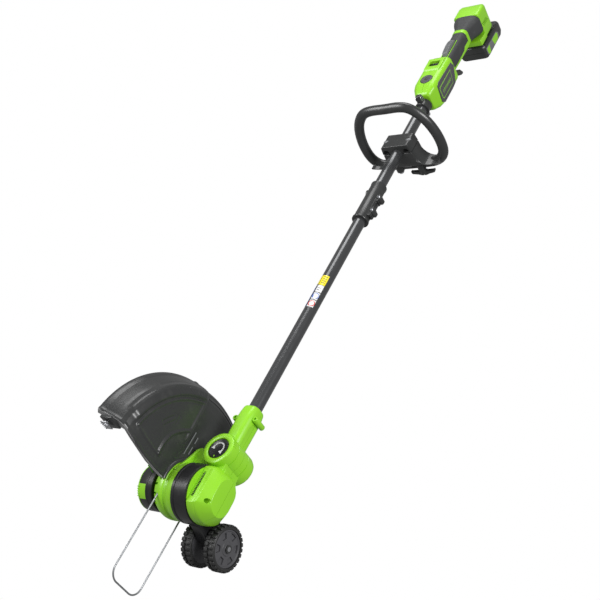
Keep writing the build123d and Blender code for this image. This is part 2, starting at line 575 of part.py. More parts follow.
# ---- harness collar ----
def collar_parts():
    middle = (COLLAR_S0 + COLLAR_S1) / 2
    collar = rod_s(COLLAR_R, COLLAR_S0, COLLAR_S1)
    collar += block(-6, 6, TUBE_R, EYE_T + 9, COLLAR_S0 + 2, COLLAR_S1 - 2)
    collar += block(-5, 5, -COLLAR_R - 8, -TUBE_R, COLLAR_S0 + 3, COLLAR_S1 - 3)
    collar -= rod_s(TUBE_R + FIT, COLLAR_S0 - 10, COLLAR_S1 + 10)
    collar -= block(-1, 1, -40, -5, COLLAR_S0 - 10, COLLAR_S1 + 10)
    collar -= rod_x(EYE_R + 1.5 + FIT, -20, 20, EYE_T, middle)
    lug_t = -COLLAR_R - 3
    collar -= rod_x(SCREW_R + FIT, -20, 20, lug_t, middle)
    save("harness_collar", collar)
    eye = rod_x(EYE_R + 1.5, -7, 7, EYE_T, middle) - rod_x(EYE_R, -8, 8, EYE_T, middle)
    save("harness_eyelet", eye)
    screw = rod_x(SCREW_R, -7, 5 + FIT, lug_t, middle) + rod_x(SCREW_HEAD_R, 5 + FIT, 7.2, lug_t, middle)
    save("collar_screw", screw)


# ---- handle shells, grips and controls ----
def switch_sections(inset):
    i = inset
    return [(SWITCH_S0 + i, -20 + i, 20 - i, -22 + i, 24 - i, 9), (SWITCH_S0 + 16, -27 + i, 27 - i, -27 + i, 32 - i, 9),
            (SWITCH_S0 + 32, -SWITCH_HALF + i, SWITCH_HALF - i, SWITCH_REAR + i, SWITCH_FRONT - i, 9),
            (SWITCH_S1 - 18, -SWITCH_HALF + i, SWITCH_HALF - i, SWITCH_REAR + i, SWITCH_FRONT - i, 9),
            (SWITCH_S1, -17 + i, 17 - i, -20 + i, 22 - i, 9)]


def neck_sections(over):
    o = over
    return [(RING_S1, -16.8 - o, 16.8 + o, -19.3 - o, 19.3 + o, 9),
            (NECK_S1, -REAR_HALF + 2.4 - o, REAR_HALF - 2.4 + o, -26 - o, REAR_FRONT - 2.4 + o, 6)]


def rear_sections(inset):
    i = inset
    return [(NECK_S1 + i, -REAR_HALF + i, REAR_HALF - i, REAR_FOOT + i, REAR_FRONT - i, 5),
            (REAR_S1 - 14, -REAR_HALF + i, REAR_HALF - i, REAR_FOOT + i, REAR_FRONT - i, 5),
            (REAR_S1 - i, -REAR_HALF + 6 + i, REAR_HALF - 6 - i, REAR_FOOT + i, REAR_FRONT - 6 - i, 5)]


def grip_core(inset):
    o = OVER + inset
    return soft_block(-GRIP_HALF + o, GRIP_HALF - o, -GRIP_DEEP + o, GRIP_DEEP - o, SWITCH_S1 - 4,
                      RING_S1 + 4, 11)


TRIGGER_PIVOT = (-20.0, SWITCH_S1 - 21.0)       # (t, s)
TRIGGER_HALF = 6.0
LOCK_PIVOT = (12.0, SWITCH_S1 + 68.0)           # (t, s)
LOCK_HALF = 6.5
BUTTON_R = 14.5
BUTTON_S = SWITCH_S0 + 44.0
WINDOW_HALF = 13.0
WINDOW_S = (SWITCH_S0 + 88.0, SWITCH_S0 + 108.0)
RAIL_X = (20.0, 26.0)
HANDLE_SCREWS = [(22.0, SWITCH_S0 + 116.0, SWITCH_HALF - 3), (-21.0, SWITCH_S0 + 50.0, SWITCH_HALF - 3),
                 (10.0, NECK_S1 + 20.0, REAR_HALF - 3.5)]           # (t, s, x of the head)
PIN_R = 2.5


def handle_shell():
    shell = lofted(switch_sections(0)) + grip_core(0) + lofted(neck_sections(0)) + lofted(rear_sections(0))
    shell += soft_block(-GRIP_HALF - 1.5, GRIP_HALF + 1.5, -GRIP_DEEP - 1, GRIP_DEEP + 1, GRIP_S1, RING_S1, 13)
    shell += block(-REAR_HALF, REAR_HALF, REAR_FOOT, -29, REAR_FOOT_S0, NECK_S1 + 2)
    w = SHELL_WALL
    shell -= lofted(switch_sections(w)) + grip_core(w)
    neck_room = [(s, x0 + w, x1 - w, t0 + w, t1 - w, r) for s, x0, x1, t0, t1, r in neck_sections(0)]
    shell -= lofted(neck_room)
    shell -= block(-REAR_HALF + w, REAR_HALF - w, REAR_FOOT + 9, REAR_FRONT - w - 6, NECK_S1 - 1, REAR_S1 - w - 6)
    # socket of the tube, and ribs that carry the trigger's pin
    shell += rod_s(TUBE_R + 3, SWITCH_S0, UPPER_TUBE_END + 3)
    shell -= rod_s(TUBE_R + FIT, SWITCH_S0 - 5, UPPER_TUBE_END + FIT)
    shell -= rod_s(6, UPPER_TUBE_END - 10, UPPER_TUBE_END + 40)
    pivot_t, pivot_s = TRIGGER_PIVOT
    for side in (1, -1):
        x0, x1 = sorted((side * (TRIGGER_HALF + 1.5), side * 12.0))
        shell += block(x0, x1, SWITCH_REAR + 1, pivot_t + 5, pivot_s - 5, pivot_s + 5)
    shell -= rod_x(PIN_R + RUN, -11, 11, pivot_t, pivot_s)
    lock_t, lock_s = LOCK_PIVOT
    for side in (1, -1):
        x0, x1 = sorted((side * (LOCK_HALF + 1), side * (GRIP_HALF - OVER - 1)))
        shell += block(x0, x1, lock_t - 4, lock_t + 4, lock_s - 5, lock_s + 5) & grip_core(0)
    shell -= rod_x(PIN_R + RUN, -11, 11, lock_t, lock_s)
    # openings of the trigger, the lock-off lever, the button and the window
    shell -= block(-TRIGGER_HALF - 0.5, TRIGGER_HALF + 0.5, -60, -24, pivot_s - 8, pivot_s + 56)
    shell -= block(-LOCK_HALF - 0.5, LOCK_HALF + 0.5, 4, 40, SWITCH_S1 + 4, lock_s + 8)
    shell -= rod_t(BUTTON_R + GAP, 20, 60, 0, BUTTON_S)
    shell -= block(-WINDOW_HALF, WINDOW_HALF, SWITCH_FRONT - 6, 60, *WINDOW_S)
    # rail grooves of the battery, and vents in both flanks
    for side in (1, -1):
        x0, x1 = sorted((side * (RAIL_X[0] - GAP), side * (RAIL_X[1] + GAP)))
        shell -= block(x0, x1, REAR_FOOT - 1, REAR_FOOT + 6, REAR_FOOT_S0 + 4, REAR_S1 + 10)
        v0, v1 = sorted((side * (REAR_HALF - 6), side * (REAR_HALF + 5)))
        for k in range(6):
            shell -= block(v0, v1, -12 + 3.5 * k, -10.4 + 3.5 * k, NECK_S1 + 8, NECK_S1 + 34)
    for t, s, head_x in HANDLE_SCREWS:
        shell += rod_x(4.2, -head_x - 2, head_x + 2, t, s)
    return shell


def inlay(side):
    outline = [(19, 114), (-14, 110), (-22, 92), (-22, 30), (-16, 24), (22, 32), (26, 42)]
    points = [(t, SWITCH_S0 + rise) for t, rise in outline]
    x0, x1 = sorted((side * (SWITCH_HALF - 0.1), side * (SWITCH_HALF + 1.4)))
    return slab_x(points, x0, x1)


def handle_shell_parts():
    shell = handle_shell()
    left = shell & block(-80, -FIT / 2, -120, 120, SWITCH_S0 - 50, REAR_S1 + 50)
    right = shell & block(FIT / 2, 80, -120, 120, SWITCH_S0 - 50, REAR_S1 + 50)
    inlays = inlay(1) + inlay(-1)
    for t, s, head_x in HANDLE_SCREWS:
        left -= rod_x(SCREW_R, -12.5, 1, t, s)
        right -= rod_x(SCREW_R + FIT, -1, 60, t, s) + rod_x(SCREW_HEAD_R + FIT, head_x - SCREW_HEAD_H, 60, t, s)
    left -= inlays
    right -= inlays
    save("handle_screws", joined(screw_x(t, s, x, x + 12) for t, s, x in HANDLE_SCREWS))
    save("handle_shell_left", left)
    save("handle_shell_right", right)
    save("handle_inlays", inlays)


def grip_parts():
    sleeve = soft_block(-GRIP_HALF, GRIP_HALF, -GRIP_DEEP, GRIP_DEEP, SWITCH_S1 + 1, GRIP_S1 - FIT, 13)
    sleeve -= grip_core(-FIT / 2)
    sleeve -= block(-LOCK_HALF - 0.5, LOCK_HALF + 0.5, 4, 40, SWITCH_S1 - 3, LOCK_PIVOT[1] + 8)
    save("grip_sleeve", sleeve)
    cover = lofted(neck_sections(2.3)) - lofted(neck_sections(0.05))
    cover &= block(-80, 80, -80, 80, RING_S1 + 0.1, NECK_S1 - 0.1)
    save("neck_cover", cover)


def control_parts():
    button = rod_t(BUTTON_R, 30, SWITCH_FRONT + 1.5, 0, BUTTON_S)
    save("speed_button", button)
    insert = block(-WINDOW_HALF + FIT, WINDOW_HALF - FIT, SWITCH_FRONT - 6, SWITCH_FRONT - 2,
                   WINDOW_S[0] + FIT, WINDOW_S[1] - FIT)
    save("window_insert", insert)
    pivot_t, pivot_s = TRIGGER_PIVOT
    outline = [(-14, -5), (-14, 5), (-24, 7), (-29, 11), (-29, 22), (-33, 48), (-39, 62), (-51, 70), (-55, 68),
               (-53, 59), (-45, 45), (-39, 30), (-34, 12), (-27, -5)]
    points = [(t, pivot_s + rise) for t, rise in outline]
    trigger = slab_x(points, -TRIGGER_HALF, TRIGGER_HALF) + rod_x(PIN_R, -10.8, 10.8, pivot_t, pivot_s)
    save("trigger", trigger)
    lock_t, lock_s = LOCK_PIVOT
    outline = [(9, -2), (20, 4), (28, -4), (30, -26), (27, -52), (16, -58), (12, -52)]
    lever = slab_x([(t, lock_s + rise) for t, rise in outline], -LOCK_HALF, LOCK_HALF)
    save("lock_off_lever", lever + rod_x(PIN_R, -10.8, 10.8, lock_t, lock_s))
    coil = rod_x(4.4, TRIGGER_HALF + 0.3, TRIGGER_HALF + 1.2, pivot_t, pivot_s)
    save("trigger_spring", coil - rod_x(2.8, 0, 20, pivot_t, pivot_s))
    save("micro_switch", block(-5, 5, -8.0, 2.8, pivot_s + 22, pivot_s + 46))
    save("controller_board", block(-20, 20, 16, 18, BUTTON_S + 15, BUTTON_S + 40)
         + block(-8, 8, 10, 16, BUTTON_S + 18, BUTTON_S + 34))
    save("battery_terminals", block(-12, 12, REAR_FOOT + 10, REAR_FOOT + 16, NECK_S1 + 10, NECK_S1 + 28))


# ---- battery ----
BATTERY_PARTING_T = -60.0
BATTERY_WALL = 2.2
CELL_R = 9.1
CELL_HALF = BATTERY_HALF - 4.5
CELL_T = -65.0
CELL_COUNT = 6
LATCH_HALF = 13.0


def battery_parts():
    w = BATTERY_WALL
    outer = soft_block(-BATTERY_HALF, BATTERY_HALF, BATTERY_REAR, BATTERY_FRONT, BATTERY_S0, BATTERY_S1, 6)
    room = block(-BATTERY_HALF + w, BATTERY_HALF - w, BATTERY_REAR + w, BATTERY_FRONT - w, BATTERY_S0 + w,
                 BATTERY_S1 - w)
    rails = [block(*sorted((k * RAIL_X[0], k * RAIL_X[1])), BATTERY_FRONT - 1, BATTERY_FRONT + 5.5,
                   REAR_FOOT_S0 + 6, REAR_S1 - 2) for k in (1, -1)]
    case = outer - room
    latch_s = REAR_S1 + 6
    latch_cut = block(-LATCH_HALF - GAP, LATCH_HALF + GAP, BATTERY_FRONT - 5, BATTERY_FRONT + 5, latch_s,
                      BATTERY_S1 - 4)
    upper = case & block(-80, 80, BATTERY_PARTING_T + FIT / 2, 0, BATTERY_S0 - 20, BATTERY_S1 + 20)
    upper = upper + joined(rails) - latch_cut
    lower = case & block(-80, 80, -120, BATTERY_PARTING_T - FIT / 2, BATTERY_S0 - 20, BATTERY_S1 + 20)
    save("battery_upper_case", upper)
    save("battery_lower_case", lower)
    save("battery_latch", block(-LATCH_HALF, LATCH_HALF, BATTERY_FRONT - 3, BATTERY_FRONT + 0.5, latch_s + GAP,
                                BATTERY_S1 - 4 - GAP))
    first = BATTERY_S0 + w + CELL_R
    cells = [rod_x(CELL_R - 0.05, -CELL_HALF, CELL_HALF, CELL_T, first + 2 * CELL_R * k)
             for k in range(CELL_COUNT)]
    save("battery_cells", joined(cells))


os.makedirs("parts", exist_ok=True)
screw_room = guard_parts()
save("motor_housing_front", head_half(True) - screw_room)
save("motor_housing_rear", head_half(False) - screw_room)
save("housing_screws", joined(screw_t(x, s, SCREW_SEAT_T, 26) for x, s in POST_PLACES))
motor_parts()
hinge_parts()
wheel_bracket()
wheel("right", NEAR_WHEEL_X)
wheel("left", FAR_WHEEL_X)
axle_parts()
spool_parts()
wire_guard()
lower_shell_parts()
coupler_parts()
upper_tube()
loop_parts()
collar_parts()
handle_shell_parts()
grip_parts()
control_parts()
battery_parts()
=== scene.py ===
import bpy
import json
from math import atan2, cos, degrees, hypot, pi, radians, sin
from mathutils import Matrix, Vector


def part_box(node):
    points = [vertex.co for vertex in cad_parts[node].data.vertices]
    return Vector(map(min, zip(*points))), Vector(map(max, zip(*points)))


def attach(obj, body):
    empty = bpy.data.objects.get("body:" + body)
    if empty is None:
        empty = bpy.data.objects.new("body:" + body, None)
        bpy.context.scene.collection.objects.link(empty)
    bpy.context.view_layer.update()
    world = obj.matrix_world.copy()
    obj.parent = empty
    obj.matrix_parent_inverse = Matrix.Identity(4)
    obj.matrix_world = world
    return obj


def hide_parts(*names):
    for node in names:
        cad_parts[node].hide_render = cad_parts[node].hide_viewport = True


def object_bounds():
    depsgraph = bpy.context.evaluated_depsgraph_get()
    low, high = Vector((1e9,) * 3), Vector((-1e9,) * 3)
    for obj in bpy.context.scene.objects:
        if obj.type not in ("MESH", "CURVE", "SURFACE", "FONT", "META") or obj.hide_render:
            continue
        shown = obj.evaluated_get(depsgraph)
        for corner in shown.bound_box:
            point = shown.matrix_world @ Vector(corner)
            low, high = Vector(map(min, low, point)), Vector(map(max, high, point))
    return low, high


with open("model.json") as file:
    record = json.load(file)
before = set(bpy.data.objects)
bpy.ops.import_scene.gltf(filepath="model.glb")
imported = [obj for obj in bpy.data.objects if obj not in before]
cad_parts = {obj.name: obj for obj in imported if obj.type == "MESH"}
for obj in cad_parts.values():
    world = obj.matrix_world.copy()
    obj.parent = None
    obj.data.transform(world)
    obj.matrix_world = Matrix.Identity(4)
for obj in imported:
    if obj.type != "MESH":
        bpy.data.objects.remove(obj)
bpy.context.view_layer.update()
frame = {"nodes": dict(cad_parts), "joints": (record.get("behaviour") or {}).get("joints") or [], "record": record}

# %% [markdown]
# # A cordless lawn edger, dressed for its portrait
# The frame that was just loaded holds the edger as plain solids, tilted on its two small wheels.
# Every solid already sits in its true place, so nothing has to be lined up by eye.
# This lesson gives each visible piece its real surface: rounded mouldings, seams, ribs and finishes.
# The tool leans, which makes it awkward to measure. So each piece is drawn in the shaft's own frame
# (x sideways, t out of the shaft's front, s up the shaft) and is tilted into place at the end.

# %% The shaft's own frame
MM = 0.001
tilt = next(joint for joint in frame["joints"] if joint["name"] == "head_tilt")
hinge = Vector(tilt["pos_m"])
lean = atan2(tilt["axis"][2], -tilt["axis"][1])
SHAFT = Matrix.Translation(hinge) @ Matrix.Rotation(-lean, 4, "X")
print("hinge at", [round(c, 4) for c in hinge], "shaft leans", round(degrees(lean), 2))


def at(x, t, s):
    """A point of the shaft's frame, in millimetres."""
    return Vector((x, -t, s)) * MM


# %% [markdown]
# ## Small tools for shaping
# A few moves come back for every piece: start a fresh primitive, extrude it ring by ring, round its
# edges, cut or join, and hand it over to the frame. Each is a short function around bpy.ops, so the
# pieces below read like a list of workshop steps. Everything is deselected before a new primitive,
# because an operator works on all that is selected.

# %% Starting and finishing a piece
def clear_selection():
    if bpy.context.object and bpy.context.object.mode != "OBJECT":
        bpy.ops.object.mode_set(mode="OBJECT")
    bpy.ops.object.select_all(action="DESELECT")


def only(piece):
    clear_selection()
    piece.select_set(True)
    bpy.context.view_layer.objects.active = piece
    return piece


def close_up():
    """Leave edit mode with clean, outward faces."""
    bpy.ops.mesh.select_all(action="SELECT")
    bpy.ops.mesh.remove_doubles(threshold=0.00001)
    bpy.ops.mesh.normals_make_consistent(inside=False)
    bpy.ops.object.mode_set(mode="OBJECT")
    return bpy.context.object


def modify(piece, kind, **settings):
    only(piece)
    modifier = piece.modifiers.new(kind.lower(), kind)
    for key, value in settings.items():
        setattr(modifier, key, value)
    bpy.ops.object.modifier_apply(modifier=modifier.name)
    return piece


def rounded(piece, width, segments=3, angle=30):
    return modify(piece, "BEVEL", width=width * MM, segments=segments, limit_method="ANGLE",
        angle_limit=radians(angle), use_clamp_overlap=True)


def combine(piece, other, operation):
    modify(piece, "BOOLEAN", object=other, operation=operation, solver="EXACT")
    bpy.data.objects.remove(other)
    return piece


def cut(piece, *others):
    for other in others:
        combine(piece, other, "DIFFERENCE")
    return piece


def fuse(piece, *others):
    for other in others:
        combine(piece, other, "UNION")
    return piece


def gather(name, pieces):
    """Several loose shapes as one piece, without cutting them into each other."""
    clear_selection()
    for piece in pieces:
        piece.select_set(True)
    bpy.context.view_layer.objects.active = pieces[0]
    bpy.ops.object.join()
    pieces[0].name = name
    return pieces[0]


# %% Shapes grown ring by ring
AXES = {"X": (Vector((1, 0, 0)), (0, pi / 2, 0)), "T": (Vector((0, -1, 0)), (pi / 2, 0, 0)),
    "S": (Vector((0, 0, 1)), (0, 0, 0))}


def turned(name, rings, axis="X", x=0, t=0, s=0, sides=72):
    """Rings (place, radius) round an axis of the shaft's frame, each extruded from the one before."""
    along, turn = AXES[axis]
    centre = at(x, t, s)
    place, radius = rings[0]
    clear_selection()
    bpy.ops.mesh.primitive_circle_add(vertices=sides, radius=radius * MM, fill_type="NGON",
        location=centre + along * place * MM, rotation=turn)
    bpy.context.object.name = name
    bpy.ops.object.transform_apply(location=True, rotation=True, scale=True)
    bpy.ops.object.mode_set(mode="EDIT")
    bpy.ops.mesh.select_all(action="SELECT")
    for new_place, new_radius in rings[1:]:
        bpy.ops.mesh.extrude_region_move(TRANSFORM_OT_translate={"value": along * (new_place - place) * MM})
        grow = new_radius / radius
        bpy.ops.transform.resize(value=(grow, grow, grow), center_override=centre + along * new_place * MM)
        place, radius = new_place, new_radius
    return close_up()


def column(name, rings, corner, steps=5):
    """Rounded rectangles (s, x0, x1, t0, t1), each extruded up the shaft from the one before."""
    s, x0, x1, t0, t1 = rings[0]
    clear_selection()
    bpy.ops.mesh.primitive_plane_add(size=1)
    bpy.context.object.name = name
    bpy.ops.object.mode_set(mode="EDIT")
    bpy.ops.mesh.select_all(action="SELECT")
    bpy.ops.transform.resize(value=((x1 - x0) * MM, (t1 - t0) * MM, 1), center_override=(0, 0, 0))
    bpy.ops.mesh.bevel(offset=corner * MM, segments=steps, affect="VERTICES")
    bpy.ops.mesh.select_all(action="SELECT")
    middle = at((x0 + x1) / 2, (t0 + t1) / 2, s)
    bpy.ops.transform.translate(value=middle)
    wide, deep = x1 - x0, t1 - t0
    for s, x0, x1, t0, t1 in rings[1:]:
        new_middle = at((x0 + x1) / 2, (t0 + t1) / 2, s)
        bpy.ops.mesh.extrude_region_move(TRANSFORM_OT_translate={"value": new_middle - middle})
        bpy.ops.transform.resize(value=((x1 - x0) / wide, (t1 - t0) / deep, 1), center_override=new_middle)
        middle, wide, deep = new_middle, x1 - x0, t1 - t0
    return close_up()


def slab(name, outline, low, high, axis="X"):
    """A flat outline thickened along one axis: (t, s) points for X, (x, t) for S, (x, s) for T."""
    spots = {"X": lambda a, b: at(low, a, b), "S": lambda a, b: at(a, b, low), "T": lambda a,
        b: at(a, low, b)}
    clear_selection()
    bpy.ops.mesh.primitive_circle_add(vertices=len(outline), radius=1, fill_type="NGON")
    piece = bpy.context.object
    piece.name = name
    for vertex, spot in zip(piece.data.vertices, outline):
        vertex.co = spots[axis](*spot)
    bpy.ops.object.mode_set(mode="EDIT")
    bpy.ops.mesh.select_all(action="SELECT")
    bpy.ops.mesh.extrude_region_move(TRANSFORM_OT_translate={"value": AXES[axis][0] * (high - low) * MM})
    return close_up()


def block(name, x0, x1, t0, t1, s0, s1, soft=0.0):
    """A box between two corners, with its edges rounded."""
    piece = slab(name, [(x0, t0), (x1, t0), (x1, t1), (x0, t1)], s0, s1, "S")
    return rounded(piece, soft) if soft else piece


def swung(piece, angle, centre, axis="X"):
    """Turn a piece about an axis of the shaft's frame, through a point of it."""
    turn = Matrix.Rotation(radians(angle), 4, AXES[axis][0])
    piece.data.transform(Matrix.Translation(centre) @ turn @ Matrix.Translation(-centre))
    return piece


def copied(piece):
    copy = piece.copy()
    copy.data = piece.data.copy()
    bpy.context.collection.objects.link(copy)
    return copy


def repeated(piece, angles, centre, axis="X"):
    """Copies of a pattern, each swung to its own angle. The pattern itself is thrown away."""
    copies = [swung(copied(piece), angle, centre, axis) for angle in angles]
    bpy.data.objects.remove(piece)
    return copies


def clear_tube(piece, low, high, radius=12.7, sides=64):
    """Bore a piece along the shaft, so that the tube passes through it."""
    return cut(piece, turned("tube_way", [(low, radius), (high, radius)], axis="S", sides=sides))


# %% Handing a piece over to the frame
SLOT_FINISH = {}


def fit(piece, body, slot, *nodes, finish=None, smooth=38):
    """Tilt a finished piece into place, give it its finish and let it ride on its body."""
    only(piece)
    bpy.ops.object.shade_smooth_by_angle(angle=radians(smooth))
    piece.data.transform(SHAFT)
    piece.data.materials.clear()
    piece.data.materials.append(finish or SLOT_FINISH[slot])
    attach(piece, body)
    if nodes:
        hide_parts(*nodes)
    print(piece.name, len(piece.data.polygons), "faces, rides on", body)
    return piece

# %% [markdown]
# ## Finishes
# The edger is nearly all moulded plastic, and what tells one moulding from another is its grain and
# gloss. Real mouldings have a spark-eroded texture a few tenths of a millimetre across, a colour
# that drifts slightly over the part, and rub marks that change the gloss more than the colour.
# All of them share that recipe, so it is written once as a node group and given other numbers
# in each finish. It reads Object coordinates, so the grain has the same size on every piece.

# %% The shared moulding group
def add_node(tree, kind, sockets=(), **values):
    """A node with its own settings, and default values for (socket, value) pairs."""
    node = tree.nodes.new(kind)
    for key, value in values.items():
        setattr(node, key, value)
    for key, value in sockets:
        node.inputs[key].default_value = value
    return node


def moulding_group():
    group = bpy.data.node_groups.new("moulded_surface", "ShaderNodeTree")
    face = group.interface
    face.new_socket("Colour", in_out="INPUT", socket_type="NodeSocketColor")
    face.new_socket("Drift", in_out="INPUT", socket_type="NodeSocketColor")
    for name in ("Grain scale", "Gloss low", "Gloss high", "Rub"):
        face.new_socket(name, in_out="INPUT", socket_type="NodeSocketFloat")
    face.new_socket("Colour", in_out="OUTPUT", socket_type="NodeSocketColor")
    face.new_socket("Roughness", in_out="OUTPUT", socket_type="NodeSocketFloat")
    face.new_socket("Height", in_out="OUTPUT", socket_type="NodeSocketFloat")
    came = add_node(group, "NodeGroupInput")
    goes = add_node(group, "NodeGroupOutput")
    where = add_node(group, "ShaderNodeTexCoord")
    wire = group.links.new

    cloud = add_node(group, "ShaderNodeTexNoise", [("Scale", 14), ("Detail", 5)])
    wire(where.outputs["Object"], cloud.inputs["Vector"])
    tone = add_node(group, "ShaderNodeMix", data_type="RGBA")
    wire(cloud.outputs["Fac"], tone.inputs["Factor"])
    wire(came.outputs["Colour"], tone.inputs[6])
    wire(came.outputs["Drift"], tone.inputs[7])

    rubbed = add_node(group, "ShaderNodeTexNoise", [("Scale", 55), ("Detail", 8), ("Distortion", 0.6)])
    wire(where.outputs["Object"], rubbed.inputs["Vector"])
    marks = add_node(group, "ShaderNodeMapRange", [("From Min", 0.58), ("From Max", 0.78)])
    wire(rubbed.outputs["Fac"], marks.inputs["Value"])
    worn = add_node(group, "ShaderNodeMath", operation="MULTIPLY")
    wire(marks.outputs["Result"], worn.inputs[0])
    wire(came.outputs["Rub"], worn.inputs[1])
    dusty = add_node(group, "ShaderNodeMix", data_type="RGBA")
    dusty.inputs[7].default_value = (0.45, 0.45, 0.42, 1)
    wire(worn.outputs["Value"], dusty.inputs["Factor"])
    wire(tone.outputs[2], dusty.inputs[6])
    wire(dusty.outputs[2], goes.inputs["Colour"])

    gloss = add_node(group, "ShaderNodeMapRange", [("From Min", 0.3), ("From Max", 0.7)])
    wire(rubbed.outputs["Fac"], gloss.inputs["Value"])
    wire(came.outputs["Gloss low"], gloss.inputs["To Min"])
    wire(came.outputs["Gloss high"], gloss.inputs["To Max"])
    wire(gloss.outputs["Result"], goes.inputs["Roughness"])

    grain = add_node(group, "ShaderNodeTexVoronoi", feature="SMOOTH_F1")
    wire(where.outputs["Object"], grain.inputs["Vector"])
    wire(came.outputs["Grain scale"], grain.inputs["Scale"])
    wire(grain.outputs["Distance"], goes.inputs["Height"])
    return group


MOULDED = moulding_group()


def moulded(name, colour, drift, gloss, grain=900, depth=0.00002, rub=0.05, metallic=0.0, coat=0.0,
        strength=0.2):
    """A finish made with the shared group: two colours, a gloss range and a grain."""
    finish = bpy.data.materials.new(name)
    finish.use_nodes = True
    tree = finish.node_tree
    shader = tree.nodes["Principled BSDF"]
    surface = add_node(tree, "ShaderNodeGroup", node_tree=MOULDED)
    surface.inputs["Colour"].default_value = (*colour, 1)
    surface.inputs["Drift"].default_value = (*drift, 1)
    surface.inputs["Grain scale"].default_value = grain
    surface.inputs["Gloss low"].default_value, surface.inputs["Gloss high"].default_value = gloss
    surface.inputs["Rub"].default_value = rub
    bump = add_node(tree, "ShaderNodeBump", [("Strength", strength), ("Distance", depth)])
    tree.links.new(surface.outputs["Colour"], shader.inputs["Base Color"])
    tree.links.new(surface.outputs["Roughness"], shader.inputs["Roughness"])
    tree.links.new(surface.outputs["Height"], bump.inputs["Height"])
    tree.links.new(bump.outputs["Normal"], shader.inputs["Normal"])
    shader.inputs["Metallic"].default_value = metallic
    shader.inputs["Coat Weight"].default_value = coat
    shader.inputs["Coat Roughness"].default_value = 0.2
    return finish


# %% Finishes of this tool
lime = moulded("lime_housing", (0.27, 0.64, 0.018), (0.24, 0.59, 0.015), (0.3, 0.4), coat=0.2, rub=0.01,
    strength=0.08)
charcoal = moulded("charcoal_moulding", (0.034, 0.035, 0.035), (0.026, 0.027, 0.027), (0.24, 0.34),
    rub=0.03, strength=0.1)
slate = moulded("slate_moulding", (0.075, 0.074, 0.08), (0.062, 0.062, 0.067), (0.38, 0.52), rub=0.03)
ash = moulded("ash_moulding", (0.16, 0.165, 0.17), (0.13, 0.135, 0.14), (0.4, 0.55), rub=0.02)
# A pale grey that is a painted highlight: the guard's lip is the same black moulding as the guard, painted pale
# where its front edge catches the light.
lip_painted_highlight = moulded("painted_highlight_edge", (0.3, 0.3, 0.3), (0.24, 0.24, 0.24), (0.35, 0.5), rub=0.02)
jet = moulded("jet_moulding", (0.014, 0.014, 0.015), (0.01, 0.01, 0.011), (0.28, 0.4), rub=0.02)
overmould = moulded("soft_overmould", (0.042, 0.043, 0.045), (0.032, 0.033, 0.035), (0.55, 0.7), grain=900,
    depth=0.00008)
tread = moulded("tyre_tread", (0.022, 0.022, 0.022), (0.016, 0.016, 0.016), (0.45, 0.7), grain=700,
    depth=0.0001, rub=0.08)
tube_coat = moulded("tube_powder_coat", (0.085, 0.087, 0.09), (0.07, 0.072, 0.075), (0.2, 0.28), grain=900,
    depth=0.000008, rub=0.01, metallic=0.6, coat=0.6, strength=0.04)
zinc = moulded("zinc_plate", (0.6, 0.61, 0.63), (0.5, 0.51, 0.53), (0.25, 0.4), grain=900, metallic=1.0)
bright = moulded("bright_wire", (0.3, 0.31, 0.32), (0.24, 0.25, 0.26), (0.32, 0.42), metallic=0.7, rub=0.0,
    strength=0.04)
copper = moulded("wound_copper", (0.55, 0.24, 0.09), (0.4, 0.17, 0.06), (0.35, 0.5), grain=400, metallic=1.0)
nylon = moulded("green_nylon", (0.16, 0.5, 0.06), (0.12, 0.42, 0.04), (0.3, 0.4))
laminate = moulded("green_laminate", (0.02, 0.13, 0.05), (0.015, 0.1, 0.04), (0.3, 0.4))
wrap = moulded("cell_wrap", (0.05, 0.16, 0.4), (0.04, 0.13, 0.34), (0.25, 0.35))
chalk = moulded("pale_print", (0.62, 0.63, 0.62), (0.52, 0.53, 0.52), (0.45, 0.55))
SLOT_FINISH.update(green_plastic=lime, black_plastic=charcoal, grey_plastic=slate, grip_rubber=overmould,
    tube_metal=tube_coat, steel=zinc, wire_steel=bright, tread=tread, copper_core=copper,
    cutting_nylon=nylon, board=laminate, cell_wrap=wrap)
print(len(SLOT_FINISH), "slots have a finish")

# %% [markdown]
# ## First coat for every solid of the frame
# The solids keep their shapes, so each only needs the finish of its own slot. Pieces that are
# modelled further down will hide their solid and bring their own surface.

# %% Dress the frame
for part in frame["record"]["subparts"]:
    node = frame["nodes"][part["node"]]
    node.data.materials.clear()
    node.data.materials.append(SLOT_FINISH[part["material_slot"]])
    only(node)
    bpy.ops.object.shade_smooth_by_angle(angle=radians(30))
print(len(frame["nodes"]), "solids dressed")

# %% [markdown]
# ## The motor head
# The head is a lime drum lying across the shaft: a vented ring at the spool end, a belt where the
# black wheel bracket sits, and an end cover with two flat flanks and a raised face. Turning the drum
# gives all its round steps at once, and its flats are sliced off with bisect, as a plane would.
# The cover's raised face has a chamfer all round: two outlines wrapped in one tight skin.

# %% Measures of the head
MOTOR_S = -74
PARTING_T = -3
WIRE_X, WIRE_HALF = -67, 37.5
motor_centre = at(0, 0, MOTOR_S)


def sliced(piece, point, direction):
    """Throw away what lies beyond a plane, and close the cut."""
    only(piece)
    bpy.ops.object.mode_set(mode="EDIT")
    bpy.ops.mesh.select_all(action="SELECT")
    bpy.ops.mesh.bisect(plane_co=point, plane_no=direction.normalized(), use_fill=True, clear_outer=True,
        threshold=0.000001)
    return close_up()


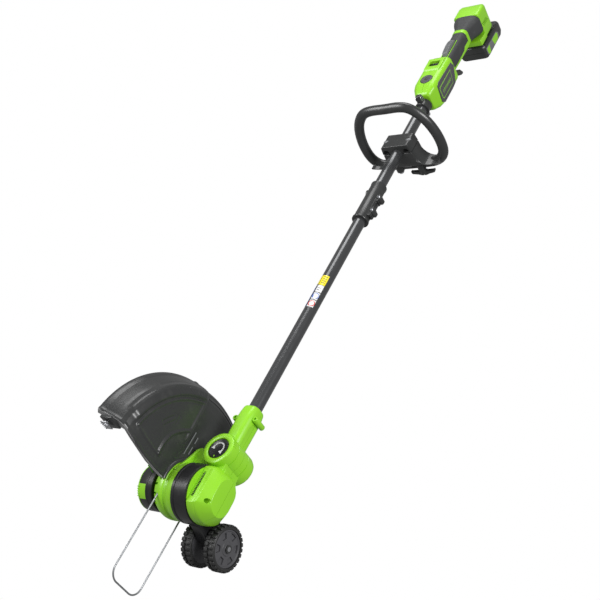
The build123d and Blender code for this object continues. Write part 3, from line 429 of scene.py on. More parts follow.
# %% The drum and its vented ring
drum = turned("drum", [(-82.6, 37), (-82.6, 41), (-80.5, 43.6), (-76, 46.6), (-71, 48.8), (-66, 49.9),
    (-59, 50), (-57.2, 49.2), (-56, 47.4), (-50, 47.4), (-48.6, 49.2), (-47, 50), (-36.4, 50),
    (-36.4, 47.4), (-1.6, 47.4)], s=MOTOR_S, sides=96)
slot = block("slot", -81, -70.5, -2.1, 2.1, MOTOR_S + 36, MOTOR_S + 60, soft=1.2)
solid_spokes = (0, 8, 9)
slots = repeated(slot, [20 * k + 10 for k in range(-7, 11) if k not in solid_spokes], motor_centre)
cut(drum, gather("slots", slots))
eye_hole = turned("eye_hole", [(30, 5), (60, 5)], axis="T", x=-66, s=MOTOR_S - 4, sides=32)
cut(drum, eye_hole)
for side in (1, -1):
    cut(drum, turned("wire_bore", [(-150, 1.9), (-20, 1.9)], axis="S", x=WIRE_X, t=side * WIRE_HALF,
        sides=24))
print("drum has", len(drum.data.polygons), "faces")

# %% The end cover
def stadium(half, low, high, steps=9):
    """A (t, s) outline with round ends."""
    spots = []
    for k in range(steps + 1):
        angle = pi * k / steps
        spots.append((half * cos(angle), high - half + half * sin(angle)))
    return spots + [(-t, high + low - s) for t, s in spots]


def wrapped(piece):
    """The tightest skin round a set of outlines, which is what a chamfer all round them is."""
    only(piece)
    bpy.ops.object.mode_set(mode="EDIT")
    bpy.ops.mesh.select_all(action="SELECT")
    bpy.ops.mesh.convex_hull()
    bpy.ops.mesh.select_all(action="SELECT")
    bpy.ops.mesh.dissolve_limited(angle_limit=radians(1.5))
    return close_up()


cover = turned("cover", [(-1.6, 45), (-1.6, 48.6), (-0.6, 49.6), (9, 49.4), (14, 48.6)], s=MOTOR_S, sides=96)
shoulder = turned("shoulder", [(13, 48.6), (17, 48.2), (20, 46.5)], s=MOTOR_S, sides=96)
for side in (1, -1):
    sliced(cover, at(0, side * 35.5, 0), at(0, side, 0))
    sliced(shoulder, at(0, side * 35.5, 0), at(0, side, 0))
crown = slab("crown", stadium(24, -108, -42), 36.6, 37.9)
shoulder = wrapped(gather("shoulder", [shoulder, crown]))
rounded(shoulder, 0.9, segments=3, angle=24)
rounded(cover, 0.9, segments=3, angle=40)
screw_well = turned("screw_well", [(16, 4.2), (60, 4.2)], t=25.5, s=-97, sides=32)
cut(shoulder, screw_well)

# %% Vent strips between belt and cover, ribbed across
for side in (1, -1):
    well = block("well", 1.5, 7.5, side * 33.2, side * 40, -98, -50, soft=1.4)
    cut(cover, well)

# %% [markdown]
# ## The tilting hinge
# Two round ears hold the end of the shaft between them. The front ear carries the dial in a sunk
# seat and the rear ear ends in a soft dome. A web ties both to the drum, and a flange behind the
# guard takes the guard's screws.

# %% Ears, web and flange
front_ear = turned("front_ear",
    [(13.8, 30.2), (14.4, 31), (29, 31), (31.6, 30), (33, 27.6), (33, 22.4), (31.8, 20.6), (24.6, 19.8)],
    axis="T", sides=96)
rear_ear = turned("rear_ear",
    [(-17.8, 30.2), (-18.4, 31), (-34, 31), (-38.5, 29.6), (-41.8, 26.2), (-43.5, 21.4), (-44, 15)],
    axis="T", sides=96)
web = block("web", -49, 23, -24, 21, -56, -19, soft=2.2)
flange_line = [(47, -60), (37, -40), (28, -20), (22, -3), (17, 4), (11, 7)]
flange = slab("flange", flange_line + [(-t, s) for t, s in reversed(flange_line)], -56.0, -49.8)
rounded(flange, 1.2, segments=3, angle=50)
cheek = rounded(slab("cheek",
    [(-51, -34), (-51, 4), (-46, 4), (-34, -3), (-24, -10), (-18, -20), (-18, -34)], -21, 20, "T"), 1.6,
    segments=3)
gusset = rounded(slab("gusset", [(-22, -34), (-22, -60), (18, -60), (18, -30)], 19, 27), 1.0)
for piece in (web, cheek):
    cut(piece, turned("knuckle_room", [(-17.8, 31.4), (13.8, 31.4)], axis="T", sides=96))
for piece in (drum, cover, shoulder):
    sliced(piece, at(0, 0, -33.4), at(0, 0, 1))
head_parts = [drum, cover, shoulder, web, cheek, gusset, front_ear, rear_ear, flange]
for piece in head_parts:
    print(piece.name, "has", len(piece.data.polygons), "faces")

# %% [markdown]
# ## Where the two half shells meet
# The head is moulded in a front and a rear half. On the real tool a hairline runs round the drum,
# over the cover's face and along the web. Cutting a slot of that width right through the solid
# gives the same line from every side, and leaves two true halves.

# %% The parting line
for piece in (drum, cover, shoulder, web):
    cut(piece, block("seam", -90, 60, PARTING_T - 0.22, PARTING_T + 0.22, -140, 50))
head = gather("head_shells", head_parts)
fit(head, "head", "green_plastic", "motor_housing_front", "motor_housing_rear")

# %% Fine ribs round the rim of the dial's ear
rib = block("rib", -0.5, 0.5, 24.5, 31.4, 30.4, 31.35, soft=0.2)
ribs = repeated(rib, [7.5 * k for k in range(-10, 11)], at(0, 0, 0), "T")
fit(gather("ear_ribs", ribs), "head", "green_plastic")

# %% Vent grilles
grille = [block("louvre", 1.9, 7.1, side * 34.2, side * 35.2, s, s + 1.1, soft=0.25) for side in (1, -1)
    for s in range(-96, -51, 3)]
fit(gather("vent_louvres", grille), "head", "black_plastic", finish=jet)

# %% [markdown]
# ## The dial
# A black disc with a printed dashed arc and two arrowheads shows which way the head turns. The marks
# are printed on the real dial, so they are drawn as very thin raised shapes in a pale ink.

# %% Dial disc and its marks
dial = turned("dial", [(28.2, 19), (31.2, 19), (32, 18.2), (32, 15.6), (31.6, 15)], axis="T", sides=64)
fit(dial, "tilt_button", "black_plastic", "tilt_button", finish=jet)
marks = []
for angle in range(-14, 156, 14):
    dash = block("dash", 9.6, 12.2, 31.7, 31.95, -0.9, 0.9)
    marks.append(swung(dash, angle, at(0, 0, 0), "T"))
for angle, turn in ((-34, 1), (172, -1)):
    tip = slab("tip", [(6.6, -3.2 * turn), (15.0, -3.2 * turn), (10.8, 4.2 * turn)], 31.7, 31.95, "T")
    marks.append(swung(tip, angle, at(0, 0, 0), "T"))
fit(gather("dial_marks", marks), "tilt_button", "black_plastic", finish=chalk)
pointer = slab("pointer", [(-1.3, -14.5), (1.3, -14.5), (0, -18.2)], 31.9, 32.3, "T")
fit(pointer, "tilt_button", "green_plastic")

# %% [markdown]
# ## The wheel bracket
# A black belt is clamped round the drum and carries the arm of the two edging wheels. Turning it
# gives the belt with its groove; its front edge runs straight along the shaft, so the round
# belt is sliced flat at the top like the drum.

# %% Belt and arm
belt = turned("belt",
    [(-36, 47.7), (-36, 50.6), (-35.2, 51.4), (-31, 51.4), (-29.6, 50), (-27.6, 50), (-26.2, 51.4),
    (-3.2, 51.4), (-2.3, 50.6), (-2.3, 47.7)], s=MOTOR_S, sides=96)
belt_core = turned("belt_core", [(-40, 47.7), (0, 47.7)], s=MOTOR_S, sides=96)
cut(belt, belt_core)
sliced(belt, at(0, 0, -33.6), at(0, 0, 1))
AXLE_T, AXLE_S = -87, -120
reach = hypot(AXLE_T, AXLE_S - MOTOR_S)
slope = degrees(atan2(AXLE_S - MOTOR_S, -AXLE_T))
arm = slab("arm",
    [(-44, MOTOR_S + 27), (-reach - 4, MOTOR_S + 12), (-reach - 10.5, MOTOR_S + 5),
    (-reach - 10.5, MOTOR_S - 5), (-reach - 4, MOTOR_S - 12), (-44, MOTOR_S - 27)], -31, -7)
rounded(arm, 3.2, segments=4, angle=50)
for low_x, high_x in ((-10.5, 0), (-40, -30.4)):
    pocket = slab("pocket",
        [(-56, MOTOR_S + 15), (-reach + 12, MOTOR_S + 6), (-reach + 12, MOTOR_S - 6), (-56, MOTOR_S - 15)],
        low_x, high_x)
    cut(arm, rounded(pocket, 1.5, angle=50))
swung(arm, slope, motor_centre)
arm_core = turned("arm_core", [(-60, 47.7), (20, 47.7)], s=MOTOR_S, sides=96)
cut(arm, arm_core)
axle_hole = turned("axle_hole", [(-60, 4.1), (20, 4.1)], t=AXLE_T, s=AXLE_S, sides=32)
cut(arm, axle_hole)
bracket = fuse(belt, arm)
bracket.name = "bracket"
fit(bracket, "head", "black_plastic", "wheel_bracket", finish=jet)

# %% [markdown]
# ## The edging wheels
# Each wheel is a grey hub in a chunky tread. The hub's face is dished, with a boss in the middle and
# six pockets near the rim. One pocket is modelled and copied round.

# %% One hub
def hub(name, inner, outer):
    """A hub whose outward face is at the second place."""
    way = 1 if outer > inner else -1
    disc = turned(name,
        [(inner, 32.6), (outer - way * 2.4, 32.6), (outer - way * 1.2, 31.2), (outer - way * 1.2, 29.6),
        (outer - way * 2.8, 28.2), (outer - way * 2.8, 12.5), (outer - way * 1.4, 11.2),
        (outer - way * 1.4, 7.4), (outer - way * 0.6, 6.6)], t=AXLE_T, s=AXLE_S, sides=72)
    pocket = slab("pocket",
        [(AXLE_T - 7.6, AXLE_S + 26.4), (AXLE_T - 4.6, AXLE_S + 16.6), (AXLE_T + 4.6, AXLE_S + 16.6),
        (AXLE_T + 7.6, AXLE_S + 26.4), (AXLE_T, AXLE_S + 27.8)], min(outer, outer - way * 6.5),
        max(outer, outer - way * 6.5))
    rounded(pocket, 0.8, segments=2, angle=50)
    cut(disc, gather("pockets", repeated(pocket, range(0, 360, 60), at(0, AXLE_T, AXLE_S))))
    bore = turned("bore", [(inner - way * 2, 4.1), (outer + way * 2, 4.1)], t=AXLE_T, s=AXLE_S, sides=32)
    return cut(disc, bore)


right_low, right_high = [c[0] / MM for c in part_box("tyre_right")]
left_low, left_high = [c[0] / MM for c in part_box("tyre_left")]
fit(hub("hub_right", right_low + 1, right_high), "wheel_right", "grey_plastic", "wheel_hub_right")
fit(hub("hub_left", left_high - 1, left_low), "wheel_left", "grey_plastic", "wheel_hub_left")

# %% [markdown]
# ## The tyres
# The tread has two staggered rows of blocks with a groove between them. A short block is modelled
# once, copied round with its twin, and sits on a turned carcass with rounded shoulders.

# %% One tyre
def tyre(name, low_x, high_x):
    middle = (low_x + high_x) / 2
    carcass = turned(name,
        [(low_x, 32.7), (low_x, 35.4), (low_x + 1.6, 37.4), (high_x - 1.6, 37.4), (high_x, 35.4),
        (high_x, 32.7)], t=AXLE_T, s=AXLE_S, sides=104)
    hole = turned("hole", [(low_x - 2, 32.7), (high_x + 2, 32.7)], t=AXLE_T, s=AXLE_S, sides=104)
    cut(carcass, hole)
    top = AXLE_S + 40.3
    lug = slab("lug",
        [(low_x + 0.4, top - 4), (low_x + 0.2, top - 1.8), (low_x + 2, top), (middle - 1.4, top),
        (middle - 1.4, top - 4)], AXLE_T - 3.1, AXLE_T + 3.1, "T")
    rounded(lug, 0.5, segments=1)
    lugs = []
    for k in range(26):
        lugs.append(swung(copied(lug), 360 / 26 * k, at(0, AXLE_T, AXLE_S)))
        twin = copied(lug)
        twin.data.transform(Matrix.Translation(at(middle, 0, 0)) @ Matrix.Scale(-1, 4,
            Vector((1, 0, 0))) @ Matrix.Translation(-at(middle, 0, 0)))
        twin.data.flip_normals()
        lugs.append(swung(twin, 360 / 26 * (k + 0.5), at(0, AXLE_T, AXLE_S)))
    bpy.data.objects.remove(lug)
    return gather(name, [carcass] + lugs)


fit(tyre("tread_right", right_low, right_high), "wheel_right", "tread", "tyre_right")
fit(tyre("tread_left", left_low, left_high), "wheel_left", "tread", "tyre_left")

# %% [markdown]
# ## The guard
# The guard is one thin black moulding: a nearly flat side wall that rolls over a shoulder into the
# rim. Its looks come from relief pressed into the sheet: a raised crescent under the rim, a bead
# round a big field, a ridge beside the shaft and a curved arrow. A grid is laid over the guard's
# sweep and every point is pushed out by the relief at its place, as a press tool would do it,
# and then the sheet gets its wall with Solidify.

# %% Section and sweep of the guard
GUARD_LINE = [(52.5, -57.2), (60, -57.8), (100, -59.6), (150, -62.8), (166, -65.6), (174, -69),
    (180.5, -75.4), (186, -86), (191, -98), (196, -110.5), (199, -117.8)]
GUARD_END = 134.5


def guard_section(part):
    """Radius, x and outward direction at a fraction of the way from hub to rim."""
    lengths = [hypot(b[0] - a[0], b[1] - a[1]) for a, b in zip(GUARD_LINE, GUARD_LINE[1:])]
    left = part * sum(lengths)
    for (r0, x0), (r1, x1), length in zip(GUARD_LINE, GUARD_LINE[1:], lengths):
        if left <= length or (r1, x1) == GUARD_LINE[-1]:
            step = left / length
            return r0 + (r1 - r0) * step, x0 + (x1 - x0) * step, ((x0 - x1) / length, (r1 - r0) / length)
        left -= length


def soft_step(value, low, high):
    part = min(1, max(0, (value - low) / (high - low)))
    return part * part * (3 - 2 * part)


def bead(distance, half, height):
    """A round bead this far from its middle line."""
    return height * (1 - (distance / half) ** 2) if abs(distance) < half else 0


# %% Relief of the guard
RIDGE_T = 49


def guard_relief(r, angle, t, s):
    edge = r * radians(angle - guard_start(r))          # mm in from the front edge
    side = t - RIDGE_T
    relief = -4.0 * (1 - soft_step(side, -5, 0)) * soft_step(r, 56, 66) * (1 - soft_step(r, 176, 184))
    relief += bead(side - 1.5, 4.5, 1.8) * soft_step(s, -8, 6)
    on_field = soft_step(side, 2, 6)
    relief += 3.2 * soft_step(r, 160, 164) * (1 - soft_step(r, 178, 184)) * soft_step(edge, 24, 34) * on_field
    relief += bead(edge - 22, 3.0, 2.0) * soft_step(r, 84, 90) * (1 - soft_step(r, 150, 160))
    relief += bead(r - 156, 3.2, 2.2) * soft_step(edge, 19, 24) * on_field
    dip = 90 + 12 * sin(radians(min(90, max(0, edge - 22) * 1.6)))
    relief += bead(r - dip, 3.6, 2.4) * soft_step(edge, 19, 25) * on_field
    relief += bead(edge - 2.5, 3.0, 1.2) + bead(r - 197.5, 3, 1.1)
    if 28 < angle < 47:
        half = 4.2 if angle < 41 else 9.5 * (47 - angle) / 6
        relief -= bead(abs(r - 126) - half, 1.3, 1.0)
    return relief


def guard_start(r):
    return -9 + 14 * (r - 52) / 147


# %% Lay the grid and press it
clear_selection()
bpy.ops.mesh.primitive_grid_add(x_subdivisions=190, y_subdivisions=130, size=1)
guard = bpy.context.object
guard.name = "guard_shell"
for vertex in guard.data.vertices:
    across, out = vertex.co.x + 0.5, vertex.co.y + 0.5
    r, x, (push_r, push_x) = guard_section(out)
    angle = guard_start(r) + (GUARD_END - guard_start(r)) * across
    t, s = r * cos(radians(angle)), MOTOR_S + r * sin(radians(angle))
    lift = guard_relief(r, angle, t, s)
    r, x = r + lift * push_r, x + lift * push_x
    vertex.co = at(min(x, -54), r * cos(radians(angle)), MOTOR_S + r * sin(radians(angle)))
only(guard)
bpy.ops.object.mode_set(mode="EDIT")
close_up()
facing = sum(face.normal.x * face.area for face in guard.data.polygons)
if facing < 0:
    guard.data.flip_normals()
modify(guard, "SOLIDIFY", thickness=2.4 * MM, offset=-1)
print("guard wall faces", "out" if facing > 0 else "in, turned round")

# %% Lip along the front edge, hub collar and cut-off blade
inner_line = [(max(52, r - 3.4 * (r > 170)), x - 6.0 - 4.5 * (r > 170)) for r, x in GUARD_LINE[:-1]]
lip = slab("lip", GUARD_LINE + inner_line[::-1], -1.4, 1.4, "S")
for vertex in lip.data.vertices:
    r, x, thick = vertex.co.x / MM, -vertex.co.y / MM, vertex.co.z / MM
    angle = radians(guard_start(r) + 0.25)
    vertex.co = at(x, r * cos(angle) - thick * sin(angle), MOTOR_S + r * sin(angle) + thick * cos(angle))
only(lip)
bpy.ops.object.mode_set(mode="EDIT")
close_up()
rim_collar = turned("rim_collar",
    [(-62, 52), (-62, 57), (-56.4, 57), (-54.6, 55.6), (-54, 53.6), (-54, 52)], s=MOTOR_S, sides=96)
cut(rim_collar, turned("collar_hole", [(-70, 51.6), (-40, 51.6)], s=MOTOR_S, sides=96))
for angle, sign in ((-10, -1), (72, 1)):
    away = at(0, -sin(radians(angle)), cos(radians(angle))) * sign
    sliced(rim_collar, motor_centre, away)
shoe = block("shoe", -106, -80, 166, 196, MOTOR_S + 4, MOTOR_S + 9, soft=1.0)
fit(gather("guard_wall", [guard, rim_collar, shoe]), "head", "black_plastic", "guard", smooth=50)
# The lip gets the pale finish as a painted highlight along the guard's lit front edge.
fit(lip, "head", "black_plastic", finish=lip_painted_highlight)

blade = block("blade", -106, -92, 170, 190, MOTOR_S - 0.8, MOTOR_S + 0.8, soft=0.3)
teeth = [slab("tooth", [(t, MOTOR_S + 0.4), (t + 3.2, MOTOR_S + 0.4), (t + 1.6, MOTOR_S - 3.0)], -106,
    -104.4) for t in (170.5, 174, 177.5, 181, 184.5)]
fit(gather("cutoff_knife", [blade] + teeth), "head", "steel", "cutoff_blade")

# %% Pale bars where the side panel is printed
bars = []
for s, long in ((-46, 16), (-24, 26), (2, 20)):
    bars.append(block("bar", -61.9, -61.1, 36, 38.4, s, s + long, soft=0.2))
    bars.append(block("bar", -61.9, -61.1, 26, 28.4, s + 3, s + long - 4, soft=0.2))
fit(gather("panel_bars", bars), "head", "black_plastic", finish=ash)

# %% [markdown]
# ## Spool housing and cap
# The cup turns with the line. It is black with fine grooves, and a green cap closes it, whose two
# tabs reach over the cup's side. Turning makes both, and the tabs are slices of a turned ring.

# %% Cup, cap and tabs
cup = turned("cup", [(-91, 20), (-91, 40), (-92, 40.8), (-101, 40.8), (-101.6, 40.2), (-102.4, 40.2),
    (-103, 40.8), (-120.4, 40.8), (-121.6, 40)], s=MOTOR_S, sides=96)
fit(cup, "spool", "black_plastic", "spool_housing", "line_eyelets", finish=jet)
cap = turned("cap",
    [(-121.7, 40.6), (-123.4, 40.6), (-124.4, 39.6), (-125, 37.6), (-125, 27), (-124.2, 25.8), (-124.2, 14),
    (-125, 12.8), (-125, 4)], s=MOTOR_S, sides=96)
rim_ring = turned("tab_ring", [(-121.6, 40.95), (-106, 40.95), (-105.2, 40.3)], s=MOTOR_S, sides=96)
cut(rim_ring, turned("tab_core", [(-124, 38.6), (-100, 38.6)], s=MOTOR_S, sides=96))
TAB_SIDE = 13
keep = block("keep", -130, -100, -70, 70, MOTOR_S - TAB_SIDE, MOTOR_S + TAB_SIDE)
swung(keep, 43, motor_centre)
combine(rim_ring, keep, "INTERSECT")
ridges = []
for k in range(5):
    for turn in (0, 180):
        ridge = block("ridge", -124.0, -119.5, 40.2, 41.3, MOTOR_S - 9 + 4 * k, MOTOR_S - 7.4 + 4 * k,
            soft=0.3)
        ridges.append(swung(ridge, 43 + turn, motor_centre))
fit(gather("spool_lid", [cap, rim_ring] + ridges), "spool", "green_plastic", "spool_cap")

# %% [markdown]
# ## Foot of the shaft
# Two green shells clamp the tube and end in the knuckle of the hinge. Their body is a rounded box
# that narrows to a ring on the tube, with a sunk arched panel on each side and two screw bosses.

# %% Lower shell
knuckle = turned("knuckle", [(-17.2, 30.2), (-16.6, 31), (12.6, 31), (13.2, 30.2)], axis="T", sides=96)
boot = column("boot", [(4, -15, 15, -14, 11), (24, -17.6, 17.6, -19, 19), (76, -18, 18, -19.5, 19.5),
    (82, -18, 18, -19.5, 19.5), (92, -17.6, 17.6, -18.6, 18.6), (101, -16.8, 16.8, -17, 17),
    (104, -15.4, 15.4, -15.6, 15.6)], corner=9.5, steps=7)
rounded(boot, 0.8, segments=3, angle=12)
for side in (1, -1):
    low, high = sorted((side * 16.6, side * 26))
    panel = slab("panel", [(-14, 20), (-14, 62), (-10, 71), (-3, 75), (4, 71), (8, 62), (8, 20)], low, high)
    cut(boot, rounded(panel, 1.2, segments=3, angle=80))
bosses = []
for side in (1, -1):
    bosses.append(turned("boss", [(-16, 4.6), (-15, 5.3), (11, 5.3), (12, 4.6), (12, 2.7), (8, 2.4)],
        axis="T", x=side * 22.6, s=79, sides=40))
clear_tube(boot, 94, 130, radius=12.9)
for piece in (knuckle, boot):
    cut(piece, block("seam", -40, 40, PARTING_T - 0.2, PARTING_T + 0.2, -40, 130))
foot = gather("foot_shells", [knuckle, boot] + bosses)
fit(foot, "lower_shaft", "green_plastic", "lower_shell_front", "lower_shell_rear")

# %% [markdown]
# ## Stickers on the tube
# Four small coloured stickers sit on the tube. They carry no words here: plain blocks of colour with
# a few bars and rings, wrapped round the tube as thin curved sheets.

# %% Curved stickers
FILM_R = 12.58


def sticker(name, s0, s1, start, end, colour):
    """A sheet on the tube's skin between two angles, from t towards x."""
    clear_selection()
    bpy.ops.mesh.primitive_grid_add(x_subdivisions=18, y_subdivisions=8, size=1)
    piece = bpy.context.object
    piece.name = name
    for vertex in piece.data.vertices:
        angle = radians(start + (end - start) * (vertex.co.x + 0.5))
        vertex.co = at(FILM_R * sin(angle), FILM_R * cos(angle), s0 + (s1 - s0) * (vertex.co.y + 0.5))
    modify(piece, "SOLIDIFY", thickness=0.12 * MM, offset=1)
    return fit(piece, "lower_shaft", "tube_metal", finish=colour)


yellow = moulded("yellow_film", (0.85, 0.72, 0.02), (0.8, 0.66, 0.02), (0.25, 0.35), rub=0.02, coat=0.4)
white_film = moulded("white_film", (0.75, 0.75, 0.75), (0.68, 0.68, 0.68), (0.25, 0.35), rub=0.02, coat=0.4)
blue_film = moulded("blue_film", (0.02, 0.11, 0.5), (0.02, 0.1, 0.44), (0.25, 0.35), rub=0.02, coat=0.4)
red_film = moulded("red_film", (0.6, 0.03, 0.02), (0.52, 0.02, 0.02), (0.25, 0.35), rub=0.02, coat=0.4)
sticker("sticker_yellow", 399, 424, -8, 52, yellow)
sticker("sticker_yellow_side", 402, 424, -62, -14, yellow)
sticker("sticker_white", 381, 398, -8, 52, white_film)
sticker("sticker_blue", 362, 379, -8, 52, white_film)
sticker("sticker_blue_side", 345, 398, -62, -30, blue_film)
sticker("sticker_red", 343, 360, -8, 52, white_film)


# %% Marks on the stickers
def wrapped_ring(name, s, angle, outer, inner, colour):
    """A ring or dot bent round the tube's skin."""
    ring = turned(name, [(0.0, outer), (0.25, outer)], axis="T", sides=40)
    if inner:
        cut(ring, turned("middle", [(-1, inner), (1, inner)], axis="T", sides=40))
    for vertex in ring.data.vertices:
        place = vertex.co / MM
        around = radians(angle) + place.x / 12.7
        radius = 12.72 - place.y
        vertex.co = at(radius * sin(around), radius * cos(around), s + place.z)
    return fit(ring, "lower_shaft", "tube_metal", finish=colour)


wrapped_ring("mark_blue", 370.5, 22, 7.0, 0, blue_film)
wrapped_ring("mark_dot", 370.5, 22, 2.6, 0, white_film)
wrapped_ring("mark_red", 351.5, 22, 7.0, 5.4, red_film)
for s in (404, 409, 414, 419):
    sticker(f"bar_{s}", s, s + 1.6, 6, 40, jet)
for s in (385, 390):
    sticker(f"bar_{s}", s, s + 1.6, 2, 30, jet)

# %% [markdown]
# ## Coupler
# The sleeve that joins the two tubes is a plastic tube with flared ends, a split ear with two bolts
# on one side and a push button on the other.

# %% Sleeve, ear and bolts
BOLT_ROW = (612, 650)
sleeve = turned("sleeve",
    [(588, 14.2), (588, 17.4), (588.8, 18), (592, 18), (595, 16.6), (686, 16.4), (689.6, 17.4),
    (692.4, 17.2), (693, 16.4), (693, 14.2)], axis="S", sides=64)
ear = block("ear", 13, 22.4, -8, 8, 599, 659, soft=1.6)
cut(ear, block("ear_hollow", 17.5, 30, -10, 10, 622, 640, soft=2.0))
cut(ear, block("split", 15.6, 40, -0.8, 0.8, 580, 680))
bolt_bosses = [turned("bolt_boss", [(-8, 5.8), (-7.2, 6.5), (7.2, 6.5), (8, 5.8), (8, 4.2), (6.4, 4.0)],
    axis="T", x=22, s=s, sides=40) for s in BOLT_ROW]
saddle = turned("button_saddle", [(-8, 8.4), (-18.6, 8.4), (-19.5, 7.6), (-19.5, 5.6)], axis="X", s=672,
    sides=40)
fit(gather("tube_coupler", [sleeve, ear, saddle] + bolt_bosses), "upper_shaft", "black_plastic",
    "coupler_sleeve")
knob = turned("coupler_knob", [(-15.6, 5), (-21, 5), (-22, 4.2)], axis="X", s=672, sides=32)
fit(rounded(knob, 0.5), "coupler_button", "black_plastic", "coupler_button")
heads = []
for s in BOLT_ROW:
    bolt_head = turned("bolt", [(6.2, 3.6), (9.4, 3.6), (10.2, 3.0), (10.2, 1.9), (8.2, 1.8)], axis="T",
        x=22, s=s, sides=28)
    heads.append(bolt_head)
    heads.append(turned("nut", [(-8, 3.7), (-10.6, 3.7), (-11, 3.2)], axis="T", x=22, s=s, sides=6))
fit(gather("coupler_hardware", heads), "upper_shaft", "steel", "coupler_bolts")

# %% [markdown]
# ## Loop handle
# The loop is one bar bent into a rounded triangle across the shaft. A torus already is a closed bar,
# so its ring is led along a smooth line through a dozen points while every point keeps its place
# round the section. The clamp is a solid block with a cap on top, and two broad curved straps run
# from the block's flanks out to the loop.

# %% The bent bar
LOOP_LINE = [(0, 98), (34, 98), (56, 92), (74, 74), (86, 50), (93, 20), (93.6, -8), (89, -28), (78, -42),
    (62, -49.5), (40, -51.5), (0, -52)]
LOOP_S = 826


def along_loop(points, part):
    """A place on the smooth closed line through the points, and the direction the line runs in."""
    whole = int(part * len(points)) % len(points)
    step = part * len(points) - int(part * len(points))
    a, b, c, d = [Vector(points[(whole + k) % len(points)]) for k in (-1, 0, 1, 2)]
    p, q, r = c - a, 2 * a - 5 * b + 4 * c - d, 3 * b - a - 3 * c + d
    return (2 * b + p * step + q * step ** 2 + r * step ** 3) / 2, p + 2 * q * step + 3 * r * step ** 2


def bent_bar(name, points, across, along):
    """A torus whose ring is led along the loop's line; its section becomes an oval with a crease."""
    clear_selection()
    bpy.ops.mesh.primitive_torus_add(major_radius=2, minor_radius=1, major_segments=176, minor_segments=36)
    bar = bpy.context.object
    bar.name = name
    for vertex in bar.data.vertices:
        turn = atan2(vertex.co.y, vertex.co.x) / (2 * pi) % 1
        out, up = hypot(vertex.co.x, vertex.co.y) - 2, vertex.co.z
        middle, run = along_loop(points, turn)
        side = Vector((-run.y, run.x)).normalized()
        swell = 1 + 0.03 * cos(4 * atan2(up, out))
        middle += side * out * across * swell
        vertex.co = at(middle.x, middle.y, LOOP_S + up * along * swell)
    only(bar)
    bpy.ops.object.mode_set(mode="EDIT")
    return close_up()


ring_points = LOOP_LINE + [(-x, t) for x, t in LOOP_LINE[-2:0:-1]]
bar = bent_bar("loop_bar", ring_points, 10.9, 11.0)
print("loop bar spans", [round(v / MM) for v in bar.dimensions])

# %% Clamp block, cap and straps
BOLT_X, BOLT_S = 27, 818
clamp_low = slab("clamp_low", [(-35, -0.6), (-36, -22), (-41, -30), (41, -30), (36, -22), (35, -0.6)], 797,
    839, "S")
rounded(clamp_low, 1.6, angle=25)
clamp_cap = slab("clamp_cap",
    [(-35.5, 0.6), (-33.5, 18.5), (-30, 21.5), (30, 21.5), (33.5, 18.5), (35.5, 0.6)], 797, 839, "S")
rounded(clamp_cap, 1.6, angle=25)
for piece in (clamp_low, clamp_cap):
    clear_tube(piece, 780, 860)
for x in (BOLT_X, -BOLT_X):
    cut(clamp_cap, turned("bolt_well", [(14.5, 5.2), (30, 5.2)], axis="T", x=x, s=BOLT_S, sides=40))
for x in (-33, 15):
    pocket = slab("pocket", [(x, 2.5), (x + 5, 12), (x + 13, 12), (x + 18, 2.5)], 790, 803, "S")
    cut(clamp_cap, rounded(pocket, 1.0, segments=2))
fit(clamp_cap, "handle", "black_plastic", "handle_clamp")


def strap(side):
    """A broad curved band from the clamp block's flank down and out to the bar."""
    line = [(34.4, -1), (35, -9), (36.4, -17), (39.4, -25), (44, -32), (50, -37.4), (57, -41), (64, -42.4),
        (71, -41.6), (78, -38.4), (84, -33)]
    outer = [(80, -46), (72, -53), (62, -58), (50, -61), (36, -62.4), (10, -62.6), (10, -36), (20, -20),
        (26, -1)]
    band = slab("strap", [(side * x, t) for x, t in line + outer], 799, 838, "S")
    return rounded(band, 1.6, segments=3, angle=60)


straps = [strap(side) for side in (1, -1)]
web_low = slab("web_low", [(-14, -20), (14, -20), (14, -61.6), (-14, -61.6)], 799, 832, "S")
for band in straps + [web_low]:
    clear_tube(band, 780, 860)
    sliced(band, at(0, -36, 799), at(0, -1, -1))
bolt_seats = [turned("bolt_seat", [(-62.2, 8.4), (-61.6, 9), (-44, 9)], axis="T", x=x, s=BOLT_S, sides=48)
    for x in (BOLT_X, -BOLT_X)]
loop = gather("loop_grip", [bar, clamp_low, web_low] + straps + bolt_seats)
fit(loop, "handle", "black_plastic", "loop_handle", smooth=50)

# %% Wing knob and bolts
hub_knob = turned("wing_hub", [(-62.4, 6.4), (-62.4, 8), (-70.5, 8), (-73, 7), (-73.8, 5), (-73.8, 2)],
    axis="T", x=BOLT_X, s=BOLT_S, sides=40)
wings = []
for side in (1, -1):
    outline = [(4, -64), (12, -66.5), (26, -66), (29.6, -64.5), (28, -72), (14, -74.5), (6, -77.6),
        (0, -77.8)]
    wing = slab("wing", [(BOLT_X + side * out, t) for out, t in outline], BOLT_S - 4.4, BOLT_S + 4.4, "S")
    wings.append(rounded(wing, 1.6, segments=3))
fit(gather("clamp_wing", [hub_knob] + wings), "wing_knob", "grey_plastic", "wing_knob", finish=charcoal)

# %% [markdown]
# ## Collar with the strap eye
# A black collar is clamped round the tube below the switch housing. Its ear carries a bright steel
# eye for a shoulder strap, and the lug below is drawn tight with a screw.

